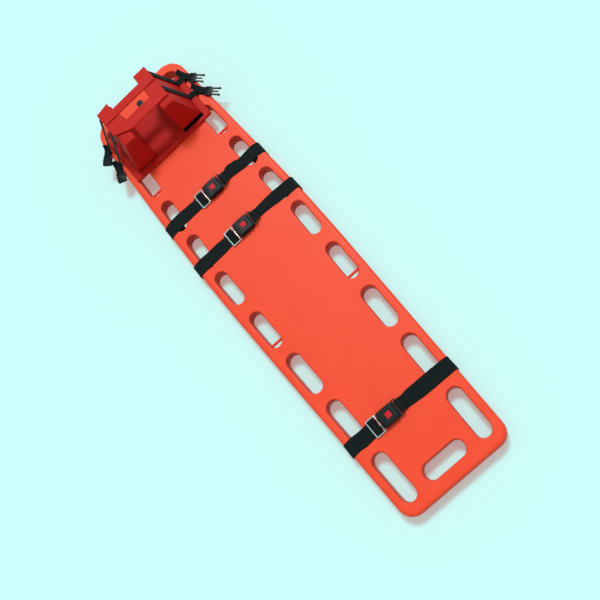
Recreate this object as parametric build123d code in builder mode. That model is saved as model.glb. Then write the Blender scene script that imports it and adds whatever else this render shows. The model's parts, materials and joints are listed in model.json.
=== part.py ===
"""Spine board with three body straps and a head immobiliser, in millimetres.

X points to the right-hand side of a board seen from its foot end, Y points to the head end
and Z points up. The origin is the middle of the flat runner under the board, where it rests.
"""
import math
import os
from collections import namedtuple

from build123d import *

# Board
board_length = 1840
foot_width = 408
chest_width = 468
head_width = 418
chest_y = 110
side_bend_radius = 6000
foot_corner_radius = 50
head_corner_radius = 70
board_height = 56
top_edge_round = 12
bottom_edge_chamfer = 8
shell_wall = 5
shell_side_wall = 6
core_gap = 0.3

# Runner under the board
runner_height = 8
runner_width = 196
runner_hold_margin = 12
runner_corner_radius = 60
runner_edge_chamfer = 5
groove_width = 24
groove_depth = 4
groove_spacing = 110
groove_end_margin = 60

# Hand-holds along the sides, with the ends of each as shares of half the board's length
side_rim = 30
head_rim = 40
hold_edge_chamfer = 4
HandHold = namedtuple("HandHold", "foot_end head_end width has_pin")
hand_holds = [
    HandHold(0.5620, 0.7163, 48, True),
    HandHold(0.3685, 0.5185, 48, False),
    HandHold(0.1696, 0.3293, 48, False),
    HandHold(-0.0217, 0.1326, 48, False),
    HandHold(-0.2457, -0.0826, 48, True),
    HandHold(-0.4707, -0.2967, 54, False),
    HandHold(-0.7207, -0.5207, 54, False),
    HandHold(-0.9533, -0.7576, 54, False),
]
foot_hold_length = 156
foot_hold_width = 56
foot_hold_margin = 75
corner_hold_width = 46
corner_hold_inner_x = 96
corner_hold_reach = 94
corner_hold_inner_round = 10
corner_hold_end_round = 20

# Pins for speed clips, across the foot end of some hand-holds
pin_radius = 5
pin_embed = 12
pin_from_tip = 22
corner_pin_reach = 56

# Plug in the moulding's vent at the head end
plug_head_margin = 56
plug_flange_radius = 13
plug_flange_height = 2
plug_stem_radius = 9
plug_depth = 10
plug_bore_clearance = 0.2

# Body straps
webbing_width = 50
webbing_thickness = 2
rest_gap = 0.3
rim_loop_gap = 0.4
sewn_length = 7
webbing_bend_radius = 6
BodyStrap = namedtuple("BodyStrap", "name hold from_foot_end buckle_x")
body_straps = [
    BodyStrap("chest", hand_holds[1], 35, 2),
    BodyStrap("waist", hand_holds[2], 27, -2),
    BodyStrap("leg", hand_holds[6], 27, -42),
]

# Push-button buckle of a body strap, measured from its own seat on the board
buckle_length = 60
buckle_width = 56
buckle_parting = 9
buckle_height = 20.5
buckle_wall = 2.5
buckle_corner_radius = 6
buckle_top_chamfer = 2
slide_clearance = 0.3
tongue_thickness = 2.5
tongue_blade_width = 31
tongue_blade_reach = 43
tongue_tip_radius = 4
tongue_catch = 8
tongue_plate_length = 17
tongue_plate_width = 58
tongue_slot_length = 6
tongue_slot_play = 2
tongue_bar = 4
tongue_window_play = 3
tongue_loop_slope = 20
button_size = 20
button_offset = 4
button_edge_round = 1
button_proud = 0.8
button_travel = 3.2
button_cross_height = 2
button_cross_width = 40
button_cross_length = 12
button_leg = 3
latch_length = 26
latch_width = 42
latch_thickness = 2
latch_tooth_length = 6
latch_tooth_width = 16
spring_length = 18
spring_foot = 2.5
spring_crown = 5
spring_width = 8
spring_thickness = 0.6
spring_bend_radius = 1.2

# Slide adjuster of a body strap
adjuster_width = 64
adjuster_pitch = 16.5
adjuster_pin_radius = 2.5
adjuster_reach = 7
adjuster_bar = 3.5
adjuster_thickness = 3
adjuster_corner_radius = 4
knuckle_wall = 2
knuckle_width = 9
knuckle_spacing = 26
knuckle_embed = 2
knuckle_mouth = 4
knuckle_clearance = 0.1
webbing_end_gap = 1

# Head immobiliser: the base carries both blocks, and the strap pads span them
base_head_margin = 90
base_length = 223
base_side_margin = 26
base_thickness = 12
base_corner_radius = 8
base_edge_chamfer = 3
grip_thickness = 1.5
grip_rear_margin = 6
right_grip_margin = 14
left_grip_margin = 27
block_rear_margin = 2
block_length = 196
block_height = 138
block_foot_width = 92
block_top_width = 50
block_front_lean = 23
block_gap = 134
block_shift = -7
block_edge_chamfer = 3
pad_thickness = 6
pad_overhang = 4.5
pad_shift = -3.5
pad_round = 2
forehead_head_margin = 78
forehead_width = 72
forehead_notch_length = 134
forehead_notch_depth = 38
chin_head_margin = 153
chin_width = 83
chin_notch_length = 119
chin_notch_depth = 38
chin_notch_shift = 6
StrapPad = namedtuple("StrapPad", "name head_margin width notch_length notch_depth notch_shift")
forehead = StrapPad(
    "forehead",
    forehead_head_margin,
    forehead_width,
    forehead_notch_length,
    forehead_notch_depth,
    0,
)
chin = StrapPad(
    "chin",
    chin_head_margin,
    chin_width,
    chin_notch_length,
    chin_notch_depth,
    chin_notch_shift,
)

# Ties of the head immobiliser, from the pads down to loose side-release clips
tie_width = 25
tie_thickness = 1.6
tie_bend_radius = 5
tie_sewn_length = 18
clip_width = 34
clip_thickness = 9
clip_body_length = 26
clip_corner_radius = 3
clip_slot_length = 4
clip_slot_margin = 4
prong_length = 34
prong_width = 5
prong_thickness = 5
prong_hook = 2
guide_width = 4
socket_length = 40
socket_wall = 2.2
socket_window_length = 13
tie_step = 5
tie_step_radius = 3
tie_foot_gap = 6
tie_base_gap = 10
tie_knee_gap = 17
TieRoute = namedtuple("TieRoute", "name pad side lies_on_base from_pad turn reach")
tie_routes = [
    TieRoute("forehead_right", forehead, 1, True, 29, 52, 15),
    TieRoute("forehead_left", forehead, -1, False, 30, 48, 15),
    TieRoute("chin_right", chin, 1, True, 34, 50, 30),
    TieRoute("chin_left", chin, -1, False, 46, 68, 36),
]

half_length = board_length / 2
seat_z = board_height + rest_gap
foot_slope = math.atan2((chest_width - foot_width) / 2, chest_y + half_length)
head_slope = math.atan2((chest_width - head_width) / 2, half_length - chest_y)
foot_hold_y = foot_hold_margin - half_length
plug_y = half_length - plug_head_margin
runner_end_margin = foot_hold_margin + foot_hold_width / 2 + runner_hold_margin


def edge_x(y):
    """Half width of the board at a place along it."""
    if y < chest_y:
        return foot_width / 2 + (y + half_length) * math.tan(foot_slope)
    return chest_width / 2 - (y - chest_y) * math.tan(head_slope)


def rim_slope(y):
    """Angle in radians between the board's side and its centreline."""
    return foot_slope if y < chest_y else head_slope


def hold_y(hold):
    """Place of a hand-hold's middle along the board."""
    return (hold.foot_end + hold.head_end) * half_length / 2


def hold_length(hold):
    """Length of a hand-hold over its round ends."""
    return (hold.head_end - hold.foot_end) * half_length


def strap_y(strap):
    """Place of a body strap along the board."""
    return strap.hold.foot_end * half_length + strap.from_foot_end


def hold_line_x(hold, y):
    """Distance from the board's centreline of a hand-hold's long axis at y."""
    return edge_x(y) - side_rim - hold.width / 2


def hold_x(hold):
    """Distance of a hand-hold's middle from the board's centreline."""
    return hold_line_x(hold, hold_y(hold))


def hold_turn(hold):
    """Angle in degrees by which a hand-hold follows the side of the board."""
    slope = foot_slope if hold_y(hold) < chest_y else -head_slope
    return math.degrees(slope)


def side_plane(y):
    """Upright plane across the board at y, with X to the right and Z up."""
    return Plane(origin=(0, y, 0), x_dir=(1, 0, 0), z_dir=(0, -1, 0))


def nearest_vertex(sketch, point):
    """The corner of a sketch that lies nearest a point of its plane."""
    return sketch.vertices().sort_by_distance(sketch.workplanes[0].from_local_coords(point))[0]


def save(part, label):
    """Name a finished piece and write it."""
    part.label = label
    export_step(part, f"parts/{label}.step")


os.makedirs("parts", exist_ok=True)

# Board body
outline_points = [
    (foot_width / 2, -half_length),
    (chest_width / 2, chest_y),
    (head_width / 2, half_length),
    (-head_width / 2, half_length),
    (-chest_width / 2, chest_y),
    (-foot_width / 2, -half_length),
]
corner_x = edge_x(half_length - head_rim) - side_rim
corner_y = half_length - head_rim

pin_z = (board_height + runner_height) / 2
pin_spans = [
    (
        hold.foot_end * half_length + pin_from_tip,
        hold_x(hold) - hold.width / 2,
        hold_x(hold) + hold.width / 2,
    )
    for hold in hand_holds
    if hold.has_pin
]
pin_spans.append((corner_y - corner_pin_reach, corner_x - corner_hold_width, corner_x))
pin_places = pin_spans + [(y, -outer_x, -inner_x) for y, inner_x, outer_x in pin_spans]

core_low = runner_height + shell_wall
core_top = board_height - shell_wall

with BuildSketch(Plane.XY) as outline:
    Polygon(*outline_points, align=None)
    fillet(outline.vertices().group_by(Axis.Y)[0], foot_corner_radius)
    fillet(outline.vertices().group_by(Axis.Y)[-1], head_corner_radius)
    for side in (1, -1):
        fillet(nearest_vertex(outline, (side * chest_width / 2, chest_y)), side_bend_radius)


def corner_hold_polygon(side, grow=0):
    """Corners of the hand-hold round one head corner, grown outward by a wall."""
    low_x = corner_hold_inner_x - grow
    high_x = corner_x + grow
    low_y = corner_y - corner_hold_reach - grow
    high_y = corner_y + grow
    arm = corner_hold_width + 2 * grow
    points = [
        (low_x, high_y),
        (high_x, high_y),
        (high_x, low_y),
        (high_x - arm, low_y),
        (high_x - arm, high_y - arm),
        (low_x, high_y - arm),
    ]
    return [(side * x, y) for x, y in points]


with BuildSketch(Plane.XY.offset(core_low)) as core_space:
    add(outline.sketch)
    offset(amount=-shell_side_wall)
    grow = 2 * shell_side_wall
    for hold in hand_holds:
        for side in (1, -1):
            with Locations((side * hold_x(hold), hold_y(hold))):
                Rectangle(
                    hold.width + grow,
                    hold_length(hold) + grow,
                    rotation=-side * hold_turn(hold),
                    mode=Mode.SUBTRACT,
                )
    with Locations((0, foot_hold_y)):
        Rectangle(foot_hold_length + grow, foot_hold_width + grow, mode=Mode.SUBTRACT)
    for side in (1, -1):
        Polygon(*corner_hold_polygon(side, shell_side_wall), align=None, mode=Mode.SUBTRACT)
    for y, inner_x, outer_x in pin_places:
        boss_length = outer_x - inner_x + 2 * (pin_embed + shell_side_wall)
        with Locations(((inner_x + outer_x) / 2, y)):
            Rectangle(boss_length, 2 * (pin_radius + shell_side_wall), mode=Mode.SUBTRACT)

with BuildPart() as board_body:
    with BuildSketch(Plane.XY.offset(runner_height)):
        add(outline.sketch)
    extrude(amount=board_height - runner_height)
    fillet(board_body.faces().sort_by(Axis.Z)[-1].edges(), top_edge_round)
    chamfer(board_body.faces().sort_by(Axis.Z)[0].edges(), bottom_edge_chamfer)
    with BuildSketch(Plane.XY.offset(runner_height)):
        RectangleRounded(runner_width, board_length - 2 * runner_end_margin, runner_corner_radius)
    extrude(amount=-runner_height)
    chamfer(board_body.faces().sort_by(Axis.Z)[0].edges(), runner_edge_chamfer)
    with BuildSketch(Plane.XY):
        with GridLocations(groove_spacing, 0, 2, 1):
            groove_length = board_length - 2 * (runner_end_margin + groove_end_margin)
            SlotOverall(groove_length, groove_width, rotation=90)
    extrude(amount=groove_depth, mode=Mode.SUBTRACT)
    with BuildSketch(Plane.XY.offset(board_height)) as holds:
        for hold in hand_holds:
            for side in (1, -1):
                with Locations((side * hold_x(hold), hold_y(hold))):
                    turn = 90 - side * hold_turn(hold)
                    SlotOverall(hold_length(hold), hold.width, rotation=turn)
        with Locations((0, foot_hold_y)):
            SlotOverall(foot_hold_length, foot_hold_width)
    extrude(amount=-board_height, mode=Mode.SUBTRACT)
    for side in (1, -1):
        outer_corner = (side * corner_x, corner_y)
        inner_corner = (side * (corner_x - corner_hold_width), corner_y - corner_hold_width)
        with BuildSketch(Plane.XY.offset(board_height)) as corner_hold:
            Polygon(*corner_hold_polygon(side), align=None)
            fillet(nearest_vertex(corner_hold, outer_corner), head_corner_radius - side_rim)
            fillet(nearest_vertex(corner_hold, inner_corner), corner_hold_inner_round)
            fillet(corner_hold.vertices().group_by(Axis.Y)[0], corner_hold_end_round)
            fillet(corner_hold.vertices().sort_by(Axis.X, reverse=side < 0)[:2], corner_hold_end_round)
        extrude(amount=-board_height, mode=Mode.SUBTRACT)
    top_face = board_body.faces().sort_by(Axis.Z)[-1]
    chamfer([edge for wire in top_face.inner_wires() for edge in wire.edges()], hold_edge_chamfer)
    for y, inner_x, outer_x in pin_places:
        with BuildSketch(Plane.YZ.offset(inner_x - pin_embed)):
            with Locations((y, pin_z)):
                Circle(pin_radius)
        extrude(amount=outer_x - inner_x + 2 * pin_embed, mode=Mode.SUBTRACT)
    with BuildSketch(Plane.XY.offset(board_height)):
        with Locations((0, plug_y)):
            Circle(plug_stem_radius + plug_bore_clearance)
    extrude(amount=-plug_depth, mode=Mode.SUBTRACT)
    extrude(core_space.sketch, amount=core_top - core_low, mode=Mode.SUBTRACT)
save(board_body.part, "board_body")

# Foam core, a loose fit in the shell and hollowed round the vent plug
with BuildPart() as foam_core:
    with BuildSketch(Plane.XY.offset(core_low + core_gap)):
        add(core_space.sketch.moved(Location((0, 0, core_gap))))
        offset(amount=-core_gap, kind=Kind.INTERSECTION)
    extrude(amount=core_top - core_low - 2 * core_gap)
    with BuildSketch(Plane.XY.offset(core_top)):
        with Locations((0, plug_y)):
            Circle(plug_stem_radius + 2 * plug_bore_clearance)
    extrude(amount=-(core_top - board_height + plug_depth), mode=Mode.SUBTRACT)
save(foam_core.part, "foam_core")

# Pins for speed clips
with BuildPart() as clip_pins:
    for y, inner_x, outer_x in pin_places:
        with BuildSketch(Plane.YZ.offset(inner_x - pin_embed)):
            with Locations((y, pin_z)):
                Circle(pin_radius)
        extrude(amount=outer_x - inner_x + 2 * pin_embed)
save(clip_pins.part, "clip_pins")

# Plug in the vent
with BuildPart() as vent_plug:
    with BuildSketch(Plane.XY.offset(board_height)):
        with Locations((0, plug_y)):
            Circle(plug_flange_radius)
    extrude(amount=plug_flange_height)
    chamfer(vent_plug.edges().group_by(Axis.Z)[-1], plug_flange_height / 2)
    with BuildSketch(Plane.XY.offset(board_height)):
        with Locations((0, plug_y)):
            Circle(plug_stem_radius)
    extrude(amount=-(plug_depth - plug_bore_clearance))
save(vent_plug.part, "vent_plug")


# Body straps: each half is a loop of webbing round the rim, sewn to itself inside the hand-hold
def make_rim_webbing(strap, side, start):
    """Webbing that begins with the given points, then goes round the rim and back."""
    y = strap_y(strap)
    half = webbing_thickness / 2
    slant = webbing_width / 2 * math.tan(rim_slope(y))
    outside = edge_x(y) + slant + rim_loop_gap + half
    inside = hold_line_x(strap.hold, y)
    top = seat_z + half
    below = runner_height - rim_loop_gap - half
    under_top = top - webbing_thickness - rest_gap
    points = start + [
        (outside, top),
        (outside, below),
        (inside, below),
        (inside, under_top),
        (inside - sewn_length, under_top),
    ]
    radii = [webbing_thickness] * (len(start) - 1)
    radii += [top_edge_round + rest_gap + half, bottom_edge_chamfer + rim_loop_gap + half]
    radii += [webbing_bend_radius, webbing_bend_radius / 2]
    with BuildPart() as webbing:
        with BuildSketch(side_plane(y)):
            with BuildLine():
                FilletPolyline(*[(side * x, z) for x, z in points], radius=radii)
            trace(line_width=webbing_thickness)
            with Locations((side * (inside - sewn_length * 3 / 4), under_top + half)):
                Rectangle(sewn_length / 2, webbing_thickness * 2 + rest_gap)
        extrude(amount=webbing_width / 2, both=True)
    return webbing.part


# Places along a buckle, from the middle of its body
buckle_end = buckle_length / 2
adjuster_pin_x = buckle_end + adjuster_reach
adjuster_middle_x = adjuster_pin_x + adjuster_pitch
adjuster_far_x = adjuster_middle_x + adjuster_pitch
adjuster_z = webbing_thickness + rest_gap + adjuster_pin_radius
tongue_low = buckle_parting + slide_clearance
plate_start = buckle_end + slide_clearance
plate_end = plate_start + tongue_plate_length
tongue_slot_x = plate_end - tongue_bar - tongue_slot_length / 2
blade_tip = buckle_end - tongue_blade_reach
latch_middle_x = blade_tip + tongue_catch + latch_tooth_length / 2 + slide_clearance
tongue_window_length = latch_tooth_length + tongue_window_play
button_low = tongue_low + tongue_thickness + button_travel + slide_clearance


def make_left_webbing(strap):
    """Webbing over the adjuster's middle bar, seen with X reversed."""
    top = seat_z + webbing_thickness / 2
    hump = seat_z + adjuster_z + (adjuster_thickness + webbing_thickness) / 2 + rest_gap
    middle = adjuster_middle_x - strap.buckle_x
    ramp = adjuster_pitch / 2
    knuckle_end = adjuster_pin_x + adjuster_pin_radius + knuckle_clearance + knuckle_wall
    start = [
        (knuckle_end + webbing_end_gap - strap.buckle_x, top),
        (middle - ramp + webbing_end_gap, top),
        (middle - ramp / 2, hump),
        (middle + ramp / 2, hump),
        (middle + ramp - webbing_end_gap, top),
    ]
    return make_rim_webbing(strap, -1, start)


def make_right_webbing(strap):
    """Webbing that loops through the slot of the tongue, sewn together past its bar."""
    top = seat_z + webbing_thickness / 2
    middle = seat_z + tongue_low + tongue_thickness / 2
    loop_half = (tongue_thickness + webbing_thickness) / 2 + rest_gap
    slot = strap.buckle_x + tongue_slot_x
    bar_end = strap.buckle_x + plate_end
    start = [
        (bar_end + tongue_bar, middle - loop_half),
        (slot, middle - loop_half),
        (slot, middle + loop_half),
        (bar_end + tongue_bar / 2, middle + loop_half),
        (bar_end + tongue_bar / 2 + tongue_loop_slope, top),
    ]
    with BuildPart() as webbing:
        add(make_rim_webbing(strap, 1, start))
        with BuildSketch(side_plane(strap_y(strap))):
            with Locations((bar_end + tongue_bar * 3 / 4, middle)):
                Rectangle(tongue_bar / 2, 2 * loop_half)
        extrude(amount=webbing_width / 2, both=True)
    return webbing.part


def make_tongue(seat):
    """Steel tongue, a blade with a window and a plate with a slot for webbing."""
    with BuildPart() as tongue:
        with BuildSketch(seat.offset(tongue_low)) as sketch:
            with Locations(((blade_tip + plate_start + tongue_bar) / 2, 0)):
                Rectangle(plate_start + tongue_bar - blade_tip, tongue_blade_width)
            fillet(sketch.vertices().group_by(Axis.X)[0], tongue_tip_radius)
            with Locations((plate_start + tongue_plate_length / 2, 0)):
                RectangleRounded(tongue_plate_length, tongue_plate_width, tongue_tip_radius)
            with Locations((blade_tip + tongue_catch + tongue_window_length / 2, 0)):
                window_width = latch_tooth_width + 4 * slide_clearance
                Rectangle(tongue_window_length, window_width, mode=Mode.SUBTRACT)
            with Locations((tongue_slot_x, 0)):
                Rectangle(tongue_slot_length, webbing_width + tongue_slot_play, mode=Mode.SUBTRACT)
        extrude(amount=tongue_thickness)
    return tongue.part


def make_buckle_base(seat):
    """Lower half of the buckle, with a well for the latch and two snap knuckles for the adjuster."""
    pin = (-adjuster_pin_x, adjuster_z)
    with BuildPart() as base:
        with BuildSketch(seat):
            RectangleRounded(buckle_length, buckle_width, buckle_corner_radius)
        extrude(amount=buckle_parting)
        with BuildSketch(seat.offset(buckle_wall)):
            with Locations((latch_middle_x, 0)):
                Rectangle(latch_length + 2 * slide_clearance, latch_width + 2 * slide_clearance)
        extrude(amount=buckle_parting, mode=Mode.SUBTRACT)
        for y in (-knuckle_spacing / 2, knuckle_spacing / 2):
            upright = Plane(
                origin=seat.from_local_coords((0, y, 0)), x_dir=(1, 0, 0), z_dir=(0, -1, 0)
            )
            with BuildSketch(upright):
                with Locations(pin):
                    Circle(adjuster_pin_radius + knuckle_clearance + knuckle_wall)
                with Locations((-(adjuster_pin_x + buckle_end - knuckle_embed) / 2, adjuster_z)):
                    neck = adjuster_pin_x - buckle_end + knuckle_embed
                    Rectangle(neck, 2 * adjuster_pin_radius)
                with Locations(pin):
                    Circle(adjuster_pin_radius + knuckle_clearance, mode=Mode.SUBTRACT)
                with Locations((pin[0], adjuster_z + 2 * adjuster_pin_radius)):
                    Rectangle(knuckle_mouth, 4 * adjuster_pin_radius, mode=Mode.SUBTRACT)
            extrude(amount=knuckle_width / 2, both=True)
    return base.part


def make_buckle_cover(seat):
    """Upper shell of the buckle, open for the button and the tongue."""
    inner_length = buckle_length - 2 * buckle_wall
    inner_width = buckle_width - 2 * buckle_wall
    with BuildPart() as cover:
        with BuildSketch(seat.offset(buckle_parting)):
            RectangleRounded(buckle_length, buckle_width, buckle_corner_radius)
        extrude(amount=buckle_height - buckle_parting)
        chamfer(cover.faces().sort_by(Axis.Z)[-1].edges(), buckle_top_chamfer)
        with BuildSketch(seat.offset(buckle_parting)):
            RectangleRounded(inner_length, inner_width, buckle_corner_radius - buckle_wall)
        extrude(amount=buckle_height - buckle_parting - buckle_wall, mode=Mode.SUBTRACT)
        with BuildSketch(seat.offset(buckle_parting)):
            with Locations((button_offset, 0)):
                Rectangle(button_size + 2 * slide_clearance, button_size + 2 * slide_clearance)
        extrude(amount=buckle_height, mode=Mode.SUBTRACT)
        with BuildSketch(seat.offset(buckle_parting)):
            with Locations((buckle_end, 0)):
                Rectangle(3 * buckle_wall, tongue_blade_width + 2 * slide_clearance)
        extrude(amount=tongue_thickness + 2 * slide_clearance, mode=Mode.SUBTRACT)
    return cover.part


def make_button(seat):
    """Push button with a crosspiece under the cover and a leg each side of the tongue."""
    top = buckle_height + button_proud
    with BuildPart() as button:
        with BuildSketch(seat.offset(button_low)):
            with Locations((button_offset, 0)):
                Rectangle(button_size, button_size)
        extrude(amount=top - button_low)
        fillet(button.edges().group_by(Axis.Z)[-1], button_edge_round)
        with BuildSketch(seat.offset(button_low)):
            with Locations((button_offset, 0)):
                Rectangle(button_cross_length, button_cross_width)
        extrude(amount=button_cross_height)
        with BuildSketch(seat.offset(buckle_parting)):
            with Locations((button_offset, 0)):
                with GridLocations(0, button_cross_width - button_leg, 1, 2):
                    Rectangle(button_cross_length, button_leg)
        extrude(amount=button_low - buckle_parting)
    return button.part


def make_latch(seat):
    """Latch plate whose tooth stands in the window of the tongue."""
    with BuildPart() as latch:
        with BuildSketch(seat.offset(buckle_parting - latch_thickness)):
            with Locations((latch_middle_x, 0)):
                Rectangle(latch_length, latch_width)
        extrude(amount=latch_thickness)
        with BuildSketch(seat.offset(buckle_parting)):
            with Locations((latch_middle_x, 0)):
                Rectangle(latch_tooth_length, latch_tooth_width)
        extrude(amount=tongue_thickness)
        tooth_top = latch.edges().group_by(Axis.Z)[-1].sort_by(Axis.X)[-1]
        chamfer(tooth_top, tongue_thickness / 2)
    return latch.part


def make_spring(seat):
    """Bowed leaf spring between the floor of the buckle and the latch plate."""
    low = buckle_wall + spring_thickness / 2
    high = buckle_parting - latch_thickness - spring_thickness / 2
    points = [
        (-spring_length / 2, low),
        (spring_foot - spring_length / 2, low),
        (-spring_crown / 2, high),
        (spring_crown / 2, high),
        (spring_length / 2 - spring_foot, low),
        (spring_length / 2, low),
    ]
    upright = Plane(
        origin=seat.from_local_coords((latch_middle_x, 0, 0)), x_dir=(1, 0, 0), z_dir=(0, -1, 0)
    )
    with BuildPart() as spring:
        with BuildSketch(upright):
            with BuildLine():
                FilletPolyline(*points, radius=spring_bend_radius)
            trace(line_width=spring_thickness)
        extrude(amount=spring_width / 2, both=True)
    return spring.part


def make_adjuster(seat):
    """Slide adjuster, a frame with two windows and a round pin in the knuckles."""
    length = adjuster_far_x - adjuster_pin_x + adjuster_bar / 2
    window = adjuster_pitch - adjuster_bar
    middle = -adjuster_pin_x - length / 2
    upright = Plane(origin=seat.origin, x_dir=(1, 0, 0), z_dir=(0, -1, 0))
    with BuildPart() as adjuster:
        with BuildSketch(seat.offset(adjuster_z - adjuster_thickness / 2)) as frame:
            with Locations((middle, 0)):
                Rectangle(length, adjuster_width)
            fillet(frame.vertices().group_by(Axis.X)[0], adjuster_corner_radius)
            for bar_x in (adjuster_pin_x, adjuster_middle_x):
                with Locations((-bar_x - adjuster_pitch / 2, 0)):
                    Rectangle(window, adjuster_width - 2 * adjuster_bar, mode=Mode.SUBTRACT)
            with Locations((-adjuster_pin_x, 0)):
                Rectangle(2 * adjuster_bar, adjuster_width - 2 * adjuster_bar, mode=Mode.SUBTRACT)
        extrude(amount=adjuster_thickness)
        with BuildSketch(upright):
            with Locations((-adjuster_pin_x, adjuster_z)):
                Circle(adjuster_pin_radius)
        extrude(amount=adjuster_width / 2, both=True)
    return adjuster.part


for strap in body_straps:
    strap_seat = Plane(origin=(strap.buckle_x, strap_y(strap), seat_z))
    save(make_left_webbing(strap), f"{strap.name}_left_webbing")
    save(make_right_webbing(strap), f"{strap.name}_right_webbing")
    save(make_tongue(strap_seat), f"{strap.name}_tongue")
    save(make_buckle_base(strap_seat), f"{strap.name}_buckle_base")
    save(make_buckle_cover(strap_seat), f"{strap.name}_buckle_cover")
    save(make_button(strap_seat), f"{strap.name}_button")
    save(make_latch(strap_seat), f"{strap.name}_latch")
    save(make_spring(strap_seat), f"{strap.name}_spring")
    save(make_adjuster(strap_seat), f"{strap.name}_adjuster")

# Head immobiliser: base pad
base_half_width = block_gap / 2 + block_foot_width + base_side_margin
base_rear_y = half_length - base_head_margin
base_front_y = base_rear_y - base_length
block_rear_y = base_rear_y - block_rear_margin
grip_rear_y = base_rear_y - grip_rear_margin

with BuildPart() as base_pad:
    with BuildSketch(Plane.XY.offset(seat_z)):
        with Locations((block_shift, (base_front_y + base_rear_y) / 2)):
            RectangleRounded(2 * base_half_width, base_length, base_corner_radius)
    extrude(amount=base_thickness)
    chamfer(base_pad.faces().sort_by(Axis.Z)[-1].edges(), base_edge_chamfer)
save(base_pad.part, "base_pad")

grip_z = seat_z + base_thickness
block_z = grip_z + grip_thickness
pad_z = block_z + block_height + rest_gap
pad_length = block_gap + 2 * (block_top_width + pad_overhang)
pad_middle_x = block_shift + pad_shift


def block_inner_x(side):
    """Place of the face of a head block that the head rests against."""
    return block_shift + side * block_gap / 2


def make_grip(side, front_margin):
    """Hook-and-loop patch on the base under a head block."""
    front_y = base_front_y + front_margin
    middle_x = block_inner_x(side) + side * block_foot_width / 2
    with BuildPart() as grip:
        with BuildSketch(Plane.XY.offset(grip_z)):
            with Locations((middle_x, (front_y + grip_rear_y) / 2)):
                Rectangle(block_foot_width, grip_rear_y - front_y)
        extrude(amount=grip_thickness)
    return grip.part


def make_block(side):
    """Wedge block beside the head, upright inside, leaning in outside and back in front."""
    inner_x = block_inner_x(side)
    top_length = block_length - block_front_lean
    with BuildPart() as block:
        with BuildSketch(Plane.XY.offset(block_z)):
            with Locations((inner_x + side * block_foot_width / 2, block_rear_y - block_length / 2)):
                Rectangle(block_foot_width, block_length)
        with BuildSketch(Plane.XY.offset(block_z + block_height)):
            with Locations((inner_x + side * block_top_width / 2, block_rear_y - top_length / 2)):
                Rectangle(block_top_width, top_length)
        loft()
        chamfer(block.edges().group_by(Axis.Z)[-1], block_edge_chamfer)
    return block.part


for side_name, side, front_margin in (
    ("right", 1, right_grip_margin),
    ("left", -1, left_grip_margin),
):
    save(make_grip(side, front_margin), f"{side_name}_grip_patch")
    save(make_block(side), f"{side_name}_head_block")


# Head immobiliser: strap pads across the blocks
def pad_high_y(shape):
    """Place of a strap pad's edge towards the head end."""
    return half_length - shape.head_margin


for shape in (forehead, chin):
    with BuildPart() as strap_pad:
        with BuildSketch(Plane.XY.offset(pad_z)):
            with Locations((pad_middle_x, pad_high_y(shape) - shape.width / 2)):
                Rectangle(pad_length, shape.width)
            notch_x = pad_middle_x + shape.notch_shift
            with Locations((notch_x, pad_high_y(shape) - shape.notch_depth / 2)):
                Rectangle(shape.notch_length, shape.notch_depth, mode=Mode.SUBTRACT)
        extrude(amount=pad_thickness)
        fillet(strap_pad.edges().group_by(Axis.Z)[-1], pad_round)
    save(strap_pad.part, f"{shape.name}_pad")



def base_edge_x(side):
    """Distance of the base's side from the board's centreline."""
    return side * block_shift + base_half_width


def tie_knee(route):
    """Place where a tie lies on the board and turns towards its clip."""
    return Vector(route.side * (base_edge_x(route.side) + tie_knee_gap), tie_y(route), seat_z)


def tie_y(route):
    """Place of a tie along the board."""
    return pad_high_y(route.pad) - route.pad.width + route.from_pad


def tie_direction(route):
    """Direction in which a tie leaves its knee, outward and towards the foot end."""
    angle = math.radians(route.turn)
    return Vector(route.side * math.cos(angle), -math.sin(angle), 0)


def make_tie(route):
    """Flat webbing from the end of a pad down past the block, then folded towards its clip."""
    half = tie_thickness / 2
    base_edge = base_edge_x(route.side)
    knee = tie_knee(route)
    pad_end = route.side * pad_middle_x + pad_length / 2
    block_foot_x = route.side * block_inner_x(route.side) + block_foot_width
    high = pad_z + pad_thickness + half
    board_low = seat_z + half
    base_low = grip_z + rest_gap + half
    points = [(pad_end - tie_sewn_length, high), (pad_end + half, high)]
    radii = [half, tie_bend_radius]
    if route.lies_on_base:
        step_start = base_edge + tie_step_radius
        points += [
            (block_foot_x + tie_foot_gap, base_low),
            (step_start, base_low),
            (step_start + tie_step, board_low),
        ]
        radii += [tie_step_radius, tie_step_radius]
    else:
        points.append((base_edge + tie_base_gap, board_low))
    points.append((abs(knee.X), board_low))
    with BuildPart() as tie:
        with BuildSketch(side_plane(tie_y(route))):
            with BuildLine():
                FilletPolyline(*[(route.side * x, z) for x, z in points], radius=radii)
            trace(line_width=tie_thickness)
        extrude(amount=tie_width / 2, both=True)
        with BuildSketch(Plane(knee, x_dir=tie_direction(route))):
            Circle(tie_width / 2)
            with Locations((route.reach / 2, 0)):
                Rectangle(route.reach, tie_width)
        extrude(amount=tie_thickness)
    return tie.part


def clip_plane(route):
    """Plane under a clip half, with X pointing away from its tie."""
    direction = tie_direction(route)
    return Plane(tie_knee(route) + direction * route.reach, x_dir=direction)


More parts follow.
